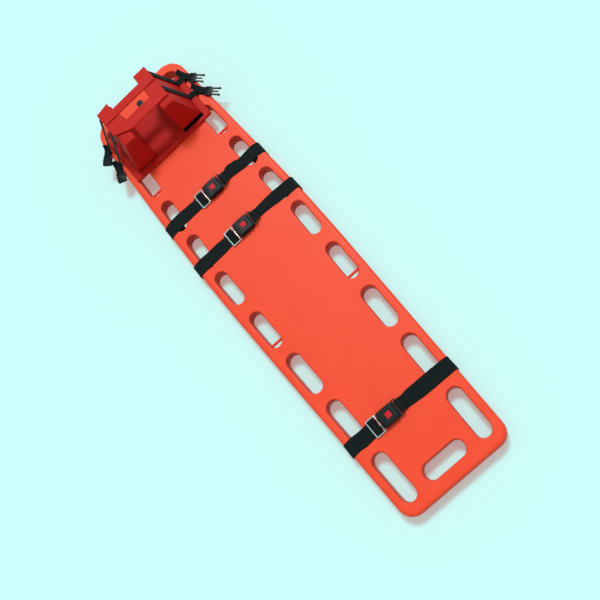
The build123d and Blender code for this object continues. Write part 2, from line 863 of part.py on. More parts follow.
def make_prong_clip(route):
    """Clip half with two sprung prongs and a guide between them."""
    plane = clip_plane(route)
    first_slot = clip_slot_margin + clip_slot_length / 2
    prong_y = clip_width / 2 - prong_width / 2 - socket_wall - slide_clearance
    hook_length = 2 * prong_width
    with BuildPart() as clip:
        with BuildSketch(plane):
            with Locations((clip_body_length / 2, 0)):
                RectangleRounded(clip_body_length, clip_width, clip_corner_radius)
            with Locations((first_slot, 0), (first_slot + 2 * clip_slot_length, 0)):
                Rectangle(clip_slot_length, tie_width + tongue_slot_play, mode=Mode.SUBTRACT)
        extrude(amount=clip_thickness)
        with BuildSketch(plane.offset((clip_thickness - prong_thickness) / 2)):
            for prong_side in (1, -1):
                with Locations((clip_body_length + prong_length / 2, prong_side * prong_y)):
                    Rectangle(prong_length, prong_width)
                hook_x = clip_body_length + prong_length - hook_length / 2
                with Locations((hook_x, prong_side * (prong_y + prong_hook))):
                    RectangleRounded(hook_length, prong_width, prong_hook)
            with Locations((clip_body_length + prong_length * 3 / 8, 0)):
                Rectangle(prong_length * 3 / 4, guide_width)
        extrude(amount=prong_thickness)
    return clip.part


def make_socket_clip(route):
    """Clip half that the prongs go into, with a window each side."""
    plane = clip_plane(route)
    inner_width = clip_width - 2 * socket_wall
    inner_height = clip_thickness - 2 * socket_wall
    inner_length = socket_length - clip_slot_margin - 2 * clip_slot_length
    with BuildPart() as clip:
        with BuildSketch(plane):
            with Locations((socket_length / 2, 0)):
                RectangleRounded(socket_length, clip_width, clip_corner_radius)
            with Locations((clip_slot_margin + clip_slot_length / 2, 0)):
                Rectangle(clip_slot_length, tie_width + tongue_slot_play, mode=Mode.SUBTRACT)
        extrude(amount=clip_thickness)
        with BuildSketch(plane.offset(socket_wall)):
            with Locations((socket_length - inner_length / 2, 0)):
                Rectangle(inner_length, inner_width)
        extrude(amount=inner_height, mode=Mode.SUBTRACT)
        with BuildSketch(plane.offset(socket_wall)):
            with Locations((socket_length - socket_window_length, 0)):
                Rectangle(socket_window_length, clip_width)
        extrude(amount=inner_height, mode=Mode.SUBTRACT)
    return clip.part


for route in tie_routes:
    save(make_tie(route), f"{route.name}_tie")
    make_clip = make_prong_clip if route.side > 0 else make_socket_clip
    save(make_clip(route), f"{route.name}_clip")
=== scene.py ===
"""Looks of a spine board with three body straps and a head immobiliser.

Everything is in metres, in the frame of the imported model: X to the right-hand side of the board
seen from its foot end, Y to the head end, Z up, and the origin under the middle of the runner.
"""
import json
import logging
import math
from collections.abc import Callable, Sequence
from dataclasses import dataclass, field
from enum import Enum

import bmesh
import bpy
from mathutils import Matrix, Vector, noise


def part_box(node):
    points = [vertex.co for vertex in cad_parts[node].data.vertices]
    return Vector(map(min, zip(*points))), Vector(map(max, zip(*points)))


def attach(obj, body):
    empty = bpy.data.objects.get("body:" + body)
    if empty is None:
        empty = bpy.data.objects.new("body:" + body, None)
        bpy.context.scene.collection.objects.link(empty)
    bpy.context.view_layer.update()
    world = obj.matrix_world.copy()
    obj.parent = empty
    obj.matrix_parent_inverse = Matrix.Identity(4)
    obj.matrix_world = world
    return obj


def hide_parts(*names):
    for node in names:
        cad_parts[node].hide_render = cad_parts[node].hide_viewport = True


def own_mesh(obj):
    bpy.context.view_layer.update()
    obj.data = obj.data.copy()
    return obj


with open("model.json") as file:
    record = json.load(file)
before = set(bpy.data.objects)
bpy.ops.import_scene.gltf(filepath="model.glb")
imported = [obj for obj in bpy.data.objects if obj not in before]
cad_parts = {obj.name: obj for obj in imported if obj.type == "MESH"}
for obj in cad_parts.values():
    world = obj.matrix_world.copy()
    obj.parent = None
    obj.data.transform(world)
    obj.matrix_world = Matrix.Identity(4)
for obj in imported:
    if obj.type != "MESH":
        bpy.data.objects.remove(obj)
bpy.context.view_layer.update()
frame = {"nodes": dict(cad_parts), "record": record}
BODY_OF = {node: body for body, nodes in frame["record"]["behaviour"]["bodies"].items() for node in nodes}
MERGE_REACH = 2e-6
ROUNDED_FROM_DEGREES = 35.0
MOULDED_SHARP_DEGREES = 30.0
EDGE_STEPS = 6
LINE_STEP = 0.004
log = logging.getLogger("spine_board")


class Slot(Enum):
    """Material slots of the record, listed beside the new pieces, which take their materials without them."""

    BOARD = "board"
    WEBBING = "webbing"
    BLACK_PLASTIC = "black_plastic"
    STEEL = "steel"
    SPRING_STEEL = "spring_steel"
    BUTTON = "button"
    COATED_FOAM = "coated_foam"
    PAD_VINYL = "pad_vinyl"
    GRIP = "grip"


class Hand(Enum):
    """Side of the board, seen from its foot end, with the sign of its X."""

    RIGHT = 1
    LEFT = -1

    @property
    def word(self) -> str:
        """The side as it stands in node names."""
        return self.name.lower()


def linear(hex_colour: str) -> tuple[float, float, float, float]:
    """Linear colour of an sRGB hex value.

    Args:
        hex_colour: Six hex digits after a leading mark.

    Returns:
        Red, green, blue and a full alpha, as Blender's sockets take them.
    """
    digits = hex_colour.lstrip("#")
    parts = [int(digits[i : i + 2], 16) / 255 for i in (0, 2, 4)]
    low = [c / 12.92 if c <= 0.04045 else ((c + 0.055) / 1.055) ** 2.4 for c in parts]
    return (low[0], low[1], low[2], 1.0)


def add_node(tree: bpy.types.NodeTree, kind: str, inputs: dict | None = None, **settings) -> bpy.types.Node:
    """Adds a node to a tree.

    Args:
        tree: Shader or geometry tree.
        kind: Node type, such as ShaderNodeBump.
        inputs: Value or linked socket for each input, by name or index.
        **settings: The node's own properties.

    Returns:
        The new node.
    """
    node = tree.nodes.new(kind)
    for name, value in settings.items():
        setattr(node, name, value)
    for key, value in (inputs or {}).items():
        if isinstance(value, bpy.types.NodeSocket):
            tree.links.new(value, node.inputs[key])
        else:
            node.inputs[key].default_value = value
    return node


def new_material(name: str) -> tuple[bpy.types.Material, bpy.types.NodeTree, bpy.types.Node]:
    """An empty material with a Principled shader wired to its output.

    Args:
        name: Name of the material.

    Returns:
        The material, its tree and the shader node.
    """
    material = bpy.data.materials.new(name)
    material.use_nodes = True
    tree = material.node_tree
    tree.nodes.clear()
    shader = add_node(tree, "ShaderNodeBsdfPrincipled")
    add_node(tree, "ShaderNodeOutputMaterial", {"Surface": shader.outputs[0]})
    return material, tree, shader


def wire(tree: bpy.types.NodeTree, source: bpy.types.NodeSocket, node: bpy.types.Node, name: str) -> None:
    """Links a socket to a named input."""
    tree.links.new(source, node.inputs[name])


def mixed_colour(
    tree: bpy.types.NodeTree, factor: bpy.types.NodeSocket, first: str, second: str
) -> bpy.types.NodeSocket:
    """Two sRGB colours mixed by a factor socket.

    Args:
        tree: Shader tree.
        factor: Socket that gives the share of the second colour.
        first: Hex value at factor 0.
        second: Hex value at factor 1.

    Returns:
        The mixed colour's socket.
    """
    ramp = add_node(tree, "ShaderNodeValToRGB", {"Fac": factor})
    ramp.color_ramp.elements[0].color = linear(first)
    ramp.color_ramp.elements[1].color = linear(second)
    return ramp.outputs["Color"]


def linked_object(name: str, data: bpy.types.ID) -> bpy.types.Object:
    """A new object that stands in the scene."""
    made = bpy.data.objects.new(name, data)
    bpy.context.scene.collection.objects.link(made)
    return made


def mesh_from(name: str, bm: bmesh.types.BMesh) -> bpy.types.Mesh:
    """A mesh with the content of one in the making, which is freed."""
    mesh = bpy.data.meshes.new(name)
    bm.to_mesh(mesh)
    bm.free()
    return mesh


def plain_mesh(seed: bpy.types.Object) -> bpy.types.Mesh:
    """The mesh that an object's modifiers make; the object itself is removed."""
    graph = bpy.context.evaluated_depsgraph_get()
    made = bpy.data.meshes.new_from_object(seed.evaluated_get(graph), depsgraph=graph)
    bpy.data.objects.remove(seed)
    return made


def merged_copy(node: str) -> bmesh.types.BMesh:
    """A CAD node's triangles, with the corners that they share merged."""
    bm = bmesh.new()
    bm.from_mesh(frame["nodes"][node].data)
    bmesh.ops.remove_doubles(bm, verts=bm.verts, dist=MERGE_REACH)
    return bm


@dataclass(frozen=True)
class MouldedPolyethylene:
    """Rotationally moulded polyethylene, coloured through."""

    # To the eye: an even orange-red with a waxy sheen, faintly clouded, that breaks up in a soft orange peel.
    # The peel is about 1 mm on the real board and is drawn at 3 mm, so that it shows.
    name: str = "moulded_polyethylene"
    colour: str = "#F5502F"
    shade: str = "#EE482A"
    roughness: float = 0.38
    peel_mm: float = 3.0
    cloud_mm: float = 90.0
    # Painted shade: a darker red mixed in along the rounded edges of the rim and the hand-holds, where they
    # turn from the light.
    line_colour: str = "#A82414"
    line_depth: float = 0.6

    def make(self) -> bpy.types.Material:
        """Builds the material, with painted shade along the moulding's edges, where their own attribute marks
        them.
        """
        material, tree, shader = new_material(self.name)
        where = add_node(tree, "ShaderNodeTexCoord").outputs["Object"]
        cloud = add_node(
            tree, "ShaderNodeTexNoise", {"Vector": where, "Scale": 1000 / self.cloud_mm, "Detail": 3.0}
        )
        # Painted shade: the attribute marks the edge rings, where a darker red is mixed in.
        line = add_node(tree, "ShaderNodeAttribute", attribute_name="edge_line")
        share = add_node(
            tree, "ShaderNodeMath", {0: line.outputs["Fac"], 1: self.line_depth}, operation="MULTIPLY"
        )
        body = mixed_colour(tree, cloud.outputs["Fac"], self.shade, self.colour)
        edge_shade_painted = add_node(
            tree,
            "ShaderNodeMixRGB",
            {"Fac": share.outputs[0], "Color1": body, "Color2": linear(self.line_colour)},
        )
        wire(tree, edge_shade_painted.outputs["Color"], shader, "Base Color")
        peel = add_node(
            tree, "ShaderNodeTexNoise", {"Vector": where, "Scale": 1000 / self.peel_mm, "Detail": 2.0}
        )
        low, high = self.roughness - 0.06, self.roughness + 0.1
        rough = add_node(
            tree, "ShaderNodeMapRange", {"Value": cloud.outputs["Fac"], "To Min": low, "To Max": high}
        )
        wire(tree, rough.outputs["Result"], shader, "Roughness")
        bump = add_node(
            tree, "ShaderNodeBump", {"Height": peel.outputs["Fac"], "Strength": 0.12, "Distance": 0.0006}
        )
        wire(tree, bump.outputs["Normal"], shader, "Normal")
        shader.inputs["IOR"].default_value = 1.51
        shader.inputs["Specular IOR Level"].default_value = 0.22
        return material


@dataclass(frozen=True)
class NylonWebbing:
    """Woven nylon webbing, dyed black."""

    # To the eye: a dull black with fine ribs across its length, and a faint grey-green fuzz at its edges.
    # Its ribs are about 1 mm apart and are drawn at 2.2 mm, with the warp at 1.8 mm, so that they show.
    name: str = "nylon_webbing"
    colour: str = "#141D1F"
    valley: str = "#05090A"
    fuzz: str = "#6E8A8C"
    rib_mm: float = 2.2
    warp_mm: float = 1.8
    roughness: float = 0.78

    def make(self) -> bpy.types.Material:
        """Builds the material, whose ribs follow the piece's own UV map in metres."""
        material, tree, shader = new_material(self.name)
        where = add_node(tree, "ShaderNodeUVMap", uv_map="webbing").outputs["UV"]
        # The bands of a wave texture lie about 1 / pi units apart at scale 1.
        rib_scale, warp_scale = (1000 / spacing / math.pi for spacing in (self.rib_mm, self.warp_mm))
        ribs = add_node(
            tree,
            "ShaderNodeTexWave",
            {"Vector": where, "Scale": rib_scale, "Distortion": 0.6, "Detail": 1.0},
            bands_direction="X",
        )
        warp = add_node(
            tree,
            "ShaderNodeTexWave",
            {"Vector": where, "Scale": warp_scale, "Distortion": 0.4},
            bands_direction="Y",
        )
        weave = add_node(
            tree, "ShaderNodeMath", {0: ribs.outputs["Fac"], 1: warp.outputs["Fac"]}, operation="MULTIPLY"
        )
        wire(tree, mixed_colour(tree, weave.outputs[0], self.valley, self.colour), shader, "Base Color")
        bump = add_node(
            tree, "ShaderNodeBump", {"Height": weave.outputs[0], "Strength": 0.5, "Distance": 0.0005}
        )
        wire(tree, bump.outputs["Normal"], shader, "Normal")
        shader.inputs["Roughness"].default_value = self.roughness
        shader.inputs["Specular IOR Level"].default_value = 0.15
        shader.inputs["Sheen Weight"].default_value = 0.06
        shader.inputs["Sheen Roughness"].default_value = 0.5
        shader.inputs["Sheen Tint"].default_value = linear(self.fuzz)
        return material


@dataclass(frozen=True)
class MouldedPlastic:
    """Injection-moulded plastic with a spark-eroded grain."""

    # To the eye: a quiet satin surface. The grain is about 0.1 mm and is drawn at 0.9 mm, so that it shows.
    name: str
    colour: str
    shade: str
    roughness: float
    grain_mm: float = 0.9
    grain_depth: float = 0.25
    wear_mm: float = 50 / 3

    def make(self) -> bpy.types.Material:
        """Builds the material."""
        material, tree, shader = new_material(self.name)
        where = add_node(tree, "ShaderNodeTexCoord").outputs["Object"]
        grain = add_node(
            tree, "ShaderNodeTexNoise", {"Vector": where, "Scale": 1000 / self.grain_mm, "Detail": 2.0}
        )
        wear = add_node(
            tree, "ShaderNodeTexNoise", {"Vector": where, "Scale": 1000 / self.wear_mm, "Detail": 4.0}
        )
        wire(tree, mixed_colour(tree, wear.outputs["Fac"], self.shade, self.colour), shader, "Base Color")
        bump = add_node(
            tree,
            "ShaderNodeBump",
            {"Height": grain.outputs["Fac"], "Strength": self.grain_depth, "Distance": 0.0003},
        )
        wire(tree, bump.outputs["Normal"], shader, "Normal")
        shader.inputs["Roughness"].default_value = self.roughness
        shader.inputs["Specular IOR Level"].default_value = 0.2
        return material


@dataclass(frozen=True)
class PlatedSteel:
    """Steel with a plated or rolled surface."""

    # To the eye: a bright metal whose highlights are drawn out along fine lines, about 0.8 mm apart so that
    # they show, as drawing and rolling leave them.
    name: str
    colour: str
    roughness: float
    line_mm: float = 0.8
    line_length_mm: float = 25.0

    def make(self) -> bpy.types.Material:
        """Builds the material."""
        material, tree, shader = new_material(self.name)
        where = add_node(tree, "ShaderNodeTexCoord").outputs["Object"]
        across, along = 1000 / self.line_mm, 1000 / self.line_length_mm
        stretched = add_node(tree, "ShaderNodeMapping", {"Vector": where, "Scale": (across, along, across)})
        lines = add_node(
            tree, "ShaderNodeTexNoise", {"Vector": stretched.outputs[0], "Scale": 1.0, "Detail": 3.0}
        )
        low, high = self.roughness * 0.7, self.roughness * 1.4
        rough = add_node(
            tree, "ShaderNodeMapRange", {"Value": lines.outputs["Fac"], "To Min": low, "To Max": high}
        )
        wire(tree, rough.outputs["Result"], shader, "Roughness")
        shader.inputs["Base Color"].default_value = linear(self.colour)
        shader.inputs["Metallic"].default_value = 1.0
        return material


@dataclass(frozen=True)
class CoatedFoam:
    """Closed-cell foam in a dipped vinyl skin."""

    # To the eye: a dull satin red, faintly dimpled, with pores. The pores are under 1 mm and are drawn at
    # 2.2 mm, so that they show.
    name: str
    colour: str
    shade: str
    roughness: float = 0.5
    pore_mm: float = 2.2
    dimple_mm: float = 24.0

    def make(self) -> bpy.types.Material:
        """Builds the material."""
        material, tree, shader = new_material(self.name)
        where = add_node(tree, "ShaderNodeTexCoord").outputs["Object"]
        dimples = add_node(
            tree, "ShaderNodeTexNoise", {"Vector": where, "Scale": 1000 / self.dimple_mm, "Detail": 3.0}
        )
        pores = add_node(tree, "ShaderNodeTexVoronoi", {"Vector": where, "Scale": 1000 / self.pore_mm})
        wire(tree, mixed_colour(tree, dimples.outputs["Fac"], self.shade, self.colour), shader, "Base Color")
        relief = add_node(
            tree, "ShaderNodeMath", {0: dimples.outputs["Fac"], 1: pores.outputs["Distance"]}, operation="ADD"
        )
        bump = add_node(
            tree, "ShaderNodeBump", {"Height": relief.outputs[0], "Strength": 0.22, "Distance": 0.0008}
        )
        wire(tree, bump.outputs["Normal"], shader, "Normal")
        shader.inputs["Roughness"].default_value = self.roughness
        shader.inputs["Specular IOR Level"].default_value = 0.14
        return material


@dataclass(frozen=True)
class HookAndLoop:
    """Hook-and-loop tape with a woven black ground."""

    # To the eye: a black nap that swallows light. Its hooks are under 1 mm apart and are drawn at 2 mm, so
    # that they show.
    name: str = "hook_and_loop"
    colour: str = "#101012"
    shade: str = "#020203"
    nap_mm: float = 2.0

    def make(self) -> bpy.types.Material:
        """Builds the material."""
        material, tree, shader = new_material(self.name)
        where = add_node(tree, "ShaderNodeTexCoord").outputs["Object"]
        nap = add_node(tree, "ShaderNodeTexVoronoi", {"Vector": where, "Scale": 1000 / self.nap_mm})
        height = nap.outputs["Distance"]
        wire(tree, mixed_colour(tree, height, self.colour, self.shade), shader, "Base Color")
        bump = add_node(tree, "ShaderNodeBump", {"Height": height, "Strength": 0.8, "Distance": 0.001})
        wire(tree, bump.outputs["Normal"], shader, "Normal")
        shader.inputs["Roughness"].default_value = 0.95
        shader.inputs["Specular IOR Level"].default_value = 0.1
        return material


@dataclass
class Loop:
    """A closed outline in plan, anticlockwise, with the outward direction at each point."""

    points: list[Vector] = field(default_factory=list)
    normals: list[Vector] = field(default_factory=list)

    def grown(self, distance: float) -> list[Vector]:
        """The outline's points moved outward by a distance."""
        return [p + n * distance for p, n in zip(self.points, self.normals)]


def rounded_loop(corners: Sequence[tuple[float, float]], radii: Sequence[float], step: float = 9.0) -> Loop:
    """An outline from its corners, each rounded by an arc.

    Args:
        corners: Corners in anticlockwise order.
        radii: Radius at each corner.
        step: Largest angle in degrees that one side of an arc takes.

    Returns:
        The outline with its outward directions.
    """
    loop = Loop()
    count = len(corners)
    for i, radius in enumerate(radii):
        here = Vector(corners[i])
        incoming = (here - Vector(corners[i - 1])).normalized()
        outgoing = (Vector(corners[(i + 1) % count]) - here).normalized()
        turn = math.atan2(incoming.cross(outgoing), incoming.dot(outgoing))
        sign = 1 if turn > 0 else -1
        normal = Vector((incoming.y, -incoming.x))
        start = here - incoming * radius * math.tan(abs(turn) / 2)
        centre = start - normal * radius * sign
        parts = max(2, math.ceil(abs(math.degrees(turn)) / step))
        for k in range(parts + 1):
            direction = normal.copy()
            direction.rotate(Matrix.Rotation(turn * k / parts, 2))
            point = centre + direction * radius * sign
            if not loop.points or (point - loop.points[-1]).length > 1e-6:
                loop.points.append(point)
                loop.normals.append(direction)
    if (loop.points[0] - loop.points[-1]).length < 1e-6:
        loop.points.pop()
        loop.normals.pop()
    return loop


def slot_loop(centre: tuple[float, float], length: float, width: float, turn: float) -> Loop:
    """An outline with two half-round ends.

    Args:
        centre: Middle of the slot.
        length: Length over the ends.
        width: Width.
        turn: Angle in radians from the Y axis, clockwise seen from above.

    Returns:
        The slot's outline.
    """
    middle = Vector(centre)
    along = Vector((math.sin(turn), math.cos(turn)))
    across = Vector((along.y, -along.x))
    half = length / 2
    corners = [
        middle + across * width / 2 - along * half,
        middle + across * width / 2 + along * half,
        middle - across * width / 2 + along * half,
        middle - across * width / 2 - along * half,
    ]
    return rounded_loop([tuple(c) for c in corners], [width / 2] * 4)


def edge_profile(
    top: float, bottom: float, top_round: float, bottom_round: float, outward: int
) -> list[tuple[float, float]]:
    """Offsets and heights of a wall's rings, from the flat above to the flat below.

    Args:
        top: Height of the flat above.
        bottom: Height of the flat below.
        top_round: Radius of the upper edge.
        bottom_round: Radius of the lower edge.
        outward: 1 where the flats lie outside the outline, as round a hole, or -1 inside it.

    Returns:
        Pairs of offset from the outline and height: the flat, EDGE_STEPS + 1 rings for each edge, the flat.
    """
    lip = 0.0015
    rings = [(outward * (top_round + lip), top)]
    angles = [math.pi / 2 * k / EDGE_STEPS for k in range(EDGE_STEPS + 1)]
    for a in angles:
        rings.append((outward * top_round * (1 - math.sin(a)), top - top_round * (1 - math.cos(a))))
    for a in angles:
        rings.append((outward * bottom_round * (1 - math.cos(a)), bottom + bottom_round * (1 - math.sin(a))))
    rings.append((outward * (bottom_round + lip), bottom))
    return rings


class PlanShell:
    """A closed mesh made of walls that follow outlines in plan, and flats between them."""

    def __init__(self) -> None:
        """Starts an empty shell."""
        self.bm = bmesh.new()
        # Marks the rings that take painted shade in the board's material.
        self.edge_line = self.bm.verts.layers.float.new("edge_line")

    def wall(
        self, loop: Loop, rings: Sequence[tuple[float, float]], edge_shade_painted: Sequence[int] = ()
    ) -> tuple[list, list]:
        """Adds a wall.

        Args:
            loop: Outline that it follows.
            rings: Offset and height of each ring.
            edge_shade_painted: Rings that take the painted shade along the moulding's edge.

        Returns:
            The edges of the first and the last ring.
        """
        rows = []
        for ring, (offset, height) in enumerate(rings):
            rows.append([self.bm.verts.new((p.x, p.y, height)) for p in loop.grown(offset)])
            for vert in rows[-1]:
                vert[self.edge_line] = 1.0 if ring in edge_shade_painted else 0.0
        count = len(loop.points)
        for upper, lower in zip(rows, rows[1:]):
            for i in range(count):
                k = (i + 1) % count
                self.bm.faces.new((upper[i], upper[k], lower[k], lower[i]))
        ends = []
        for row in (rows[0], rows[-1]):
            ends.append([self.bm.edges.get((row[i], row[(i + 1) % count])) for i in range(count)])
        return ends[0], ends[1]

    def flat(self, *edge_rings: list) -> None:
        """Fills the plane between rings of edges."""
        edges = [edge for ring in edge_rings for edge in ring]
        bmesh.ops.triangle_fill(self.bm, use_beauty=True, use_dissolve=False, edges=edges)

    def finish(self, name: str, smooth_angle: float) -> bpy.types.Object:
        """Turns the shell into an object.

        Args:
            name: Name of the piece.
            smooth_angle: Edges sharper than this many degrees stay sharp.

        Returns:
            The new object.
        """
        bmesh.ops.remove_doubles(self.bm, verts=self.bm.verts, dist=1e-6)
        return finish_mesh(name, self.bm, smooth_angle)


def finish_mesh(
    name: str, bm: bmesh.types.BMesh, smooth_angle: float, turn_out: bool = True
) -> bpy.types.Object:
    """Closes a mesh in the making and links it as an object.

    Args:
        name: Name of the piece.
        bm: Mesh in the making, which is freed.
        smooth_angle: Edges sharper than this many degrees stay sharp.
        turn_out: Whether the faces are turned outward first, which a CAD node's already are.

    Returns:
        The new object.
    """
    if turn_out:
        bmesh.ops.recalc_face_normals(bm, faces=bm.faces)
    mesh = mesh_from(name, bm)
    mesh.shade_smooth()
    mesh.set_sharp_from_angle(angle=math.radians(smooth_angle))
    return linked_object(name, mesh)


def place(
    piece: bpy.types.Object, body: str, material: bpy.types.Material, nodes: Sequence[str] = ()
) -> bpy.types.Object:
    """Dresses a finished piece and ties it to the frame.

    Args:
        piece: The piece, in place.
        body: Body that it moves with.
        material: Its material.
        nodes: CAD nodes that it stands for.

    Returns:
        The same piece.
    """
    piece.data.materials.clear()
    piece.data.materials.append(material)
    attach(piece, body)
    if nodes:
        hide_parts(*nodes)
    log.info("%s rides on %s", piece.name, body)
    return piece


def dress_node(node: str, material: bpy.types.Material) -> None:
    """Gives a CAD node that stays a better material."""
    slots = frame["nodes"][node].data.materials
    slots.clear()
    slots.append(material)


def rounded_copy(node: str, name: str, width: float, segments: int = 3) -> bpy.types.Object:
    """A copy of a CAD node with its sharp edges rounded.

    Args:
        node: CAD node to copy.
        name: Name of the new piece.
        width: Width of the rounding.
        segments: Facets across it.

    Returns:
        The new object.
    """
    bm = merged_copy(node)
    bmesh.ops.dissolve_limit(bm, angle_limit=math.radians(1), verts=bm.verts, edges=bm.edges)
    least = math.radians(ROUNDED_FROM_DEGREES)
    edges = [e for e in bm.edges if len(e.link_faces) == 2 and e.calc_face_angle() > least]
    bmesh.ops.bevel(
        bm, geom=edges, offset=width, segments=segments, profile=0.5, affect="EDGES", clamp_overlap=True
    )
    return finish_mesh(name, bm, MOULDED_SHARP_DEGREES, turn_out=False)


def filleted_line(points: Sequence[tuple[float, float]], radii: Sequence[float]) -> list[Vector]:
    """Points along a bent line with an arc at each inner corner.

    Args:
        points: Corners of the line.
        radii: Radius at each inner corner.

    Returns:
        Points from the first corner to the last, at most LINE_STEP apart on a straight run.
    """
    line = [Vector(points[0])]

    def run_to(target: Vector) -> None:
        start = line[-1].copy()
        parts = max(1, math.ceil((target - start).length / LINE_STEP))
        line.extend(start.lerp(target, k / parts) for k in range(1, parts + 1))

    for i, radius in enumerate(radii, start=1):
        before, here, after = (Vector(points[k]) for k in (i - 1, i, i + 1))
        incoming, outgoing = (here - before).normalized(), (after - here).normalized()
        turn = math.atan2(incoming.cross(outgoing), incoming.dot(outgoing))
        sign = 1 if turn > 0 else -1
        normal = Vector((incoming.y, -incoming.x))
        start = here - incoming * radius * math.tan(abs(turn) / 2)
        run_to(start)
        centre = start - normal * radius * sign
        parts = max(3, math.ceil(abs(math.degrees(turn)) / 12))
        for k in range(1, parts + 1):
            direction = normal.copy()
            direction.rotate(Matrix.Rotation(turn * k / parts, 2))
            line.append(centre + direction * radius * sign)
    run_to(Vector(points[-1]))
    return line


@dataclass
class Band:
    """A flat strip of webbing: its centreline, and its width, crown and direction across at each point."""

    centres: list[Vector]
    across: list[Vector]
    widths: list[float]
    crowns: list[float]
    thickness: float
    ripple: float = 0.0
    columns: int = 10
    selvedge: float = 0.0022

    def height(self, row: int, v: float, travelled: float) -> float:
        """Rise of the strip's middle layer at a place on it."""
        half = self.widths[row] / 2
        arch = self.crowns[row] * (1 - (v / half) ** 2)
        share = min(1.0, travelled / 0.03)
        wave = noise.noise(Vector((travelled * 34, v * 45, self.thickness * 9000 + len(self.centres))))
        return arch + self.ripple * share * max(0.0, wave + 0.25)

    def build(self, name: str) -> bpy.types.Object:
        """Builds the strip, with a UV map in metres along and across it.

        Args:
            name: Name of the piece.

        Returns:
            The new object.
        """
        bm = bmesh.new()
        uv_layer = bm.loops.layers.uv.new("webbing")
        edge = self.thickness / 2
        rows, sections, lengths, travelled = [], [], [], 0.0
        count = len(self.centres)
        for i, centre in enumerate(self.centres):
            half = self.widths[i] / 2
            inner = half - self.selvedge
            flats = [-inner + 2 * inner * k / self.columns for k in range(self.columns + 1)]
            flats = [-half + edge] + flats + [half - edge]
            # The selvedges are a little thicker than the weave between them, and thin out to the rims.
            full = [0.7] + [1.15] + [1.0] * (self.columns - 1) + [1.15] + [0.7]
            section = [(v, edge * f) for v, f in zip(flats, full)] + [(half, 0.0)]
            section += [(v, -edge * f) for v, f in reversed(list(zip(flats, full)))] + [(-half, 0.0)]
            ahead = self.centres[min(i + 1, count - 1)] - self.centres[max(i - 1, 0)]
            across = self.across[i].normalized()
            up = ahead.cross(across).normalized()
            if i:
                travelled += (centre - self.centres[i - 1]).length
            lengths.append(travelled)
            sections.append(section)
            places = [centre + across * v + up * (h + self.height(i, v, travelled)) for v, h in section]
            rows.append([bm.verts.new(spot) for spot in places])
        size = len(sections[0])
        for i in range(count - 1):
            for k in range(size):
                n = (k + 1) % size
                face = bm.faces.new((rows[i][k], rows[i][n], rows[i + 1][n], rows[i + 1][k]))
                for corner, (row, col) in zip(face.loops, ((i, k), (i, n), (i + 1, n), (i + 1, k))):
                    corner[uv_layer].uv = (lengths[row], sections[row][col][0])
        for row in (0, count - 1):
            face = bm.faces.new(rows[row])
            for corner, (v, _) in zip(face.loops, sections[row]):
                corner[uv_layer].uv = (lengths[row], v)
        return finish_mesh(name, bm, 50.0)


def smooth_keys(keys: Sequence[tuple[float, ...]], share: float) -> list[float]:
    """Values between keys, eased from each to the next.

    Args:
        keys: Rows of a share from 0 to 1 followed by values, in order.
        share: Where to read them.

    Returns:
        The values at that share.
    """
    if share <= keys[0][0]:
        return list(keys[0][1:])
    for first, second in zip(keys, keys[1:]):
        if share <= second[0]:
            t = (share - first[0]) / (second[0] - first[0])
            t = t * t * (3 - 2 * t)
            return [a + (b - a) * t for a, b in zip(first[1:], second[1:])]
    return list(keys[-1][1:])


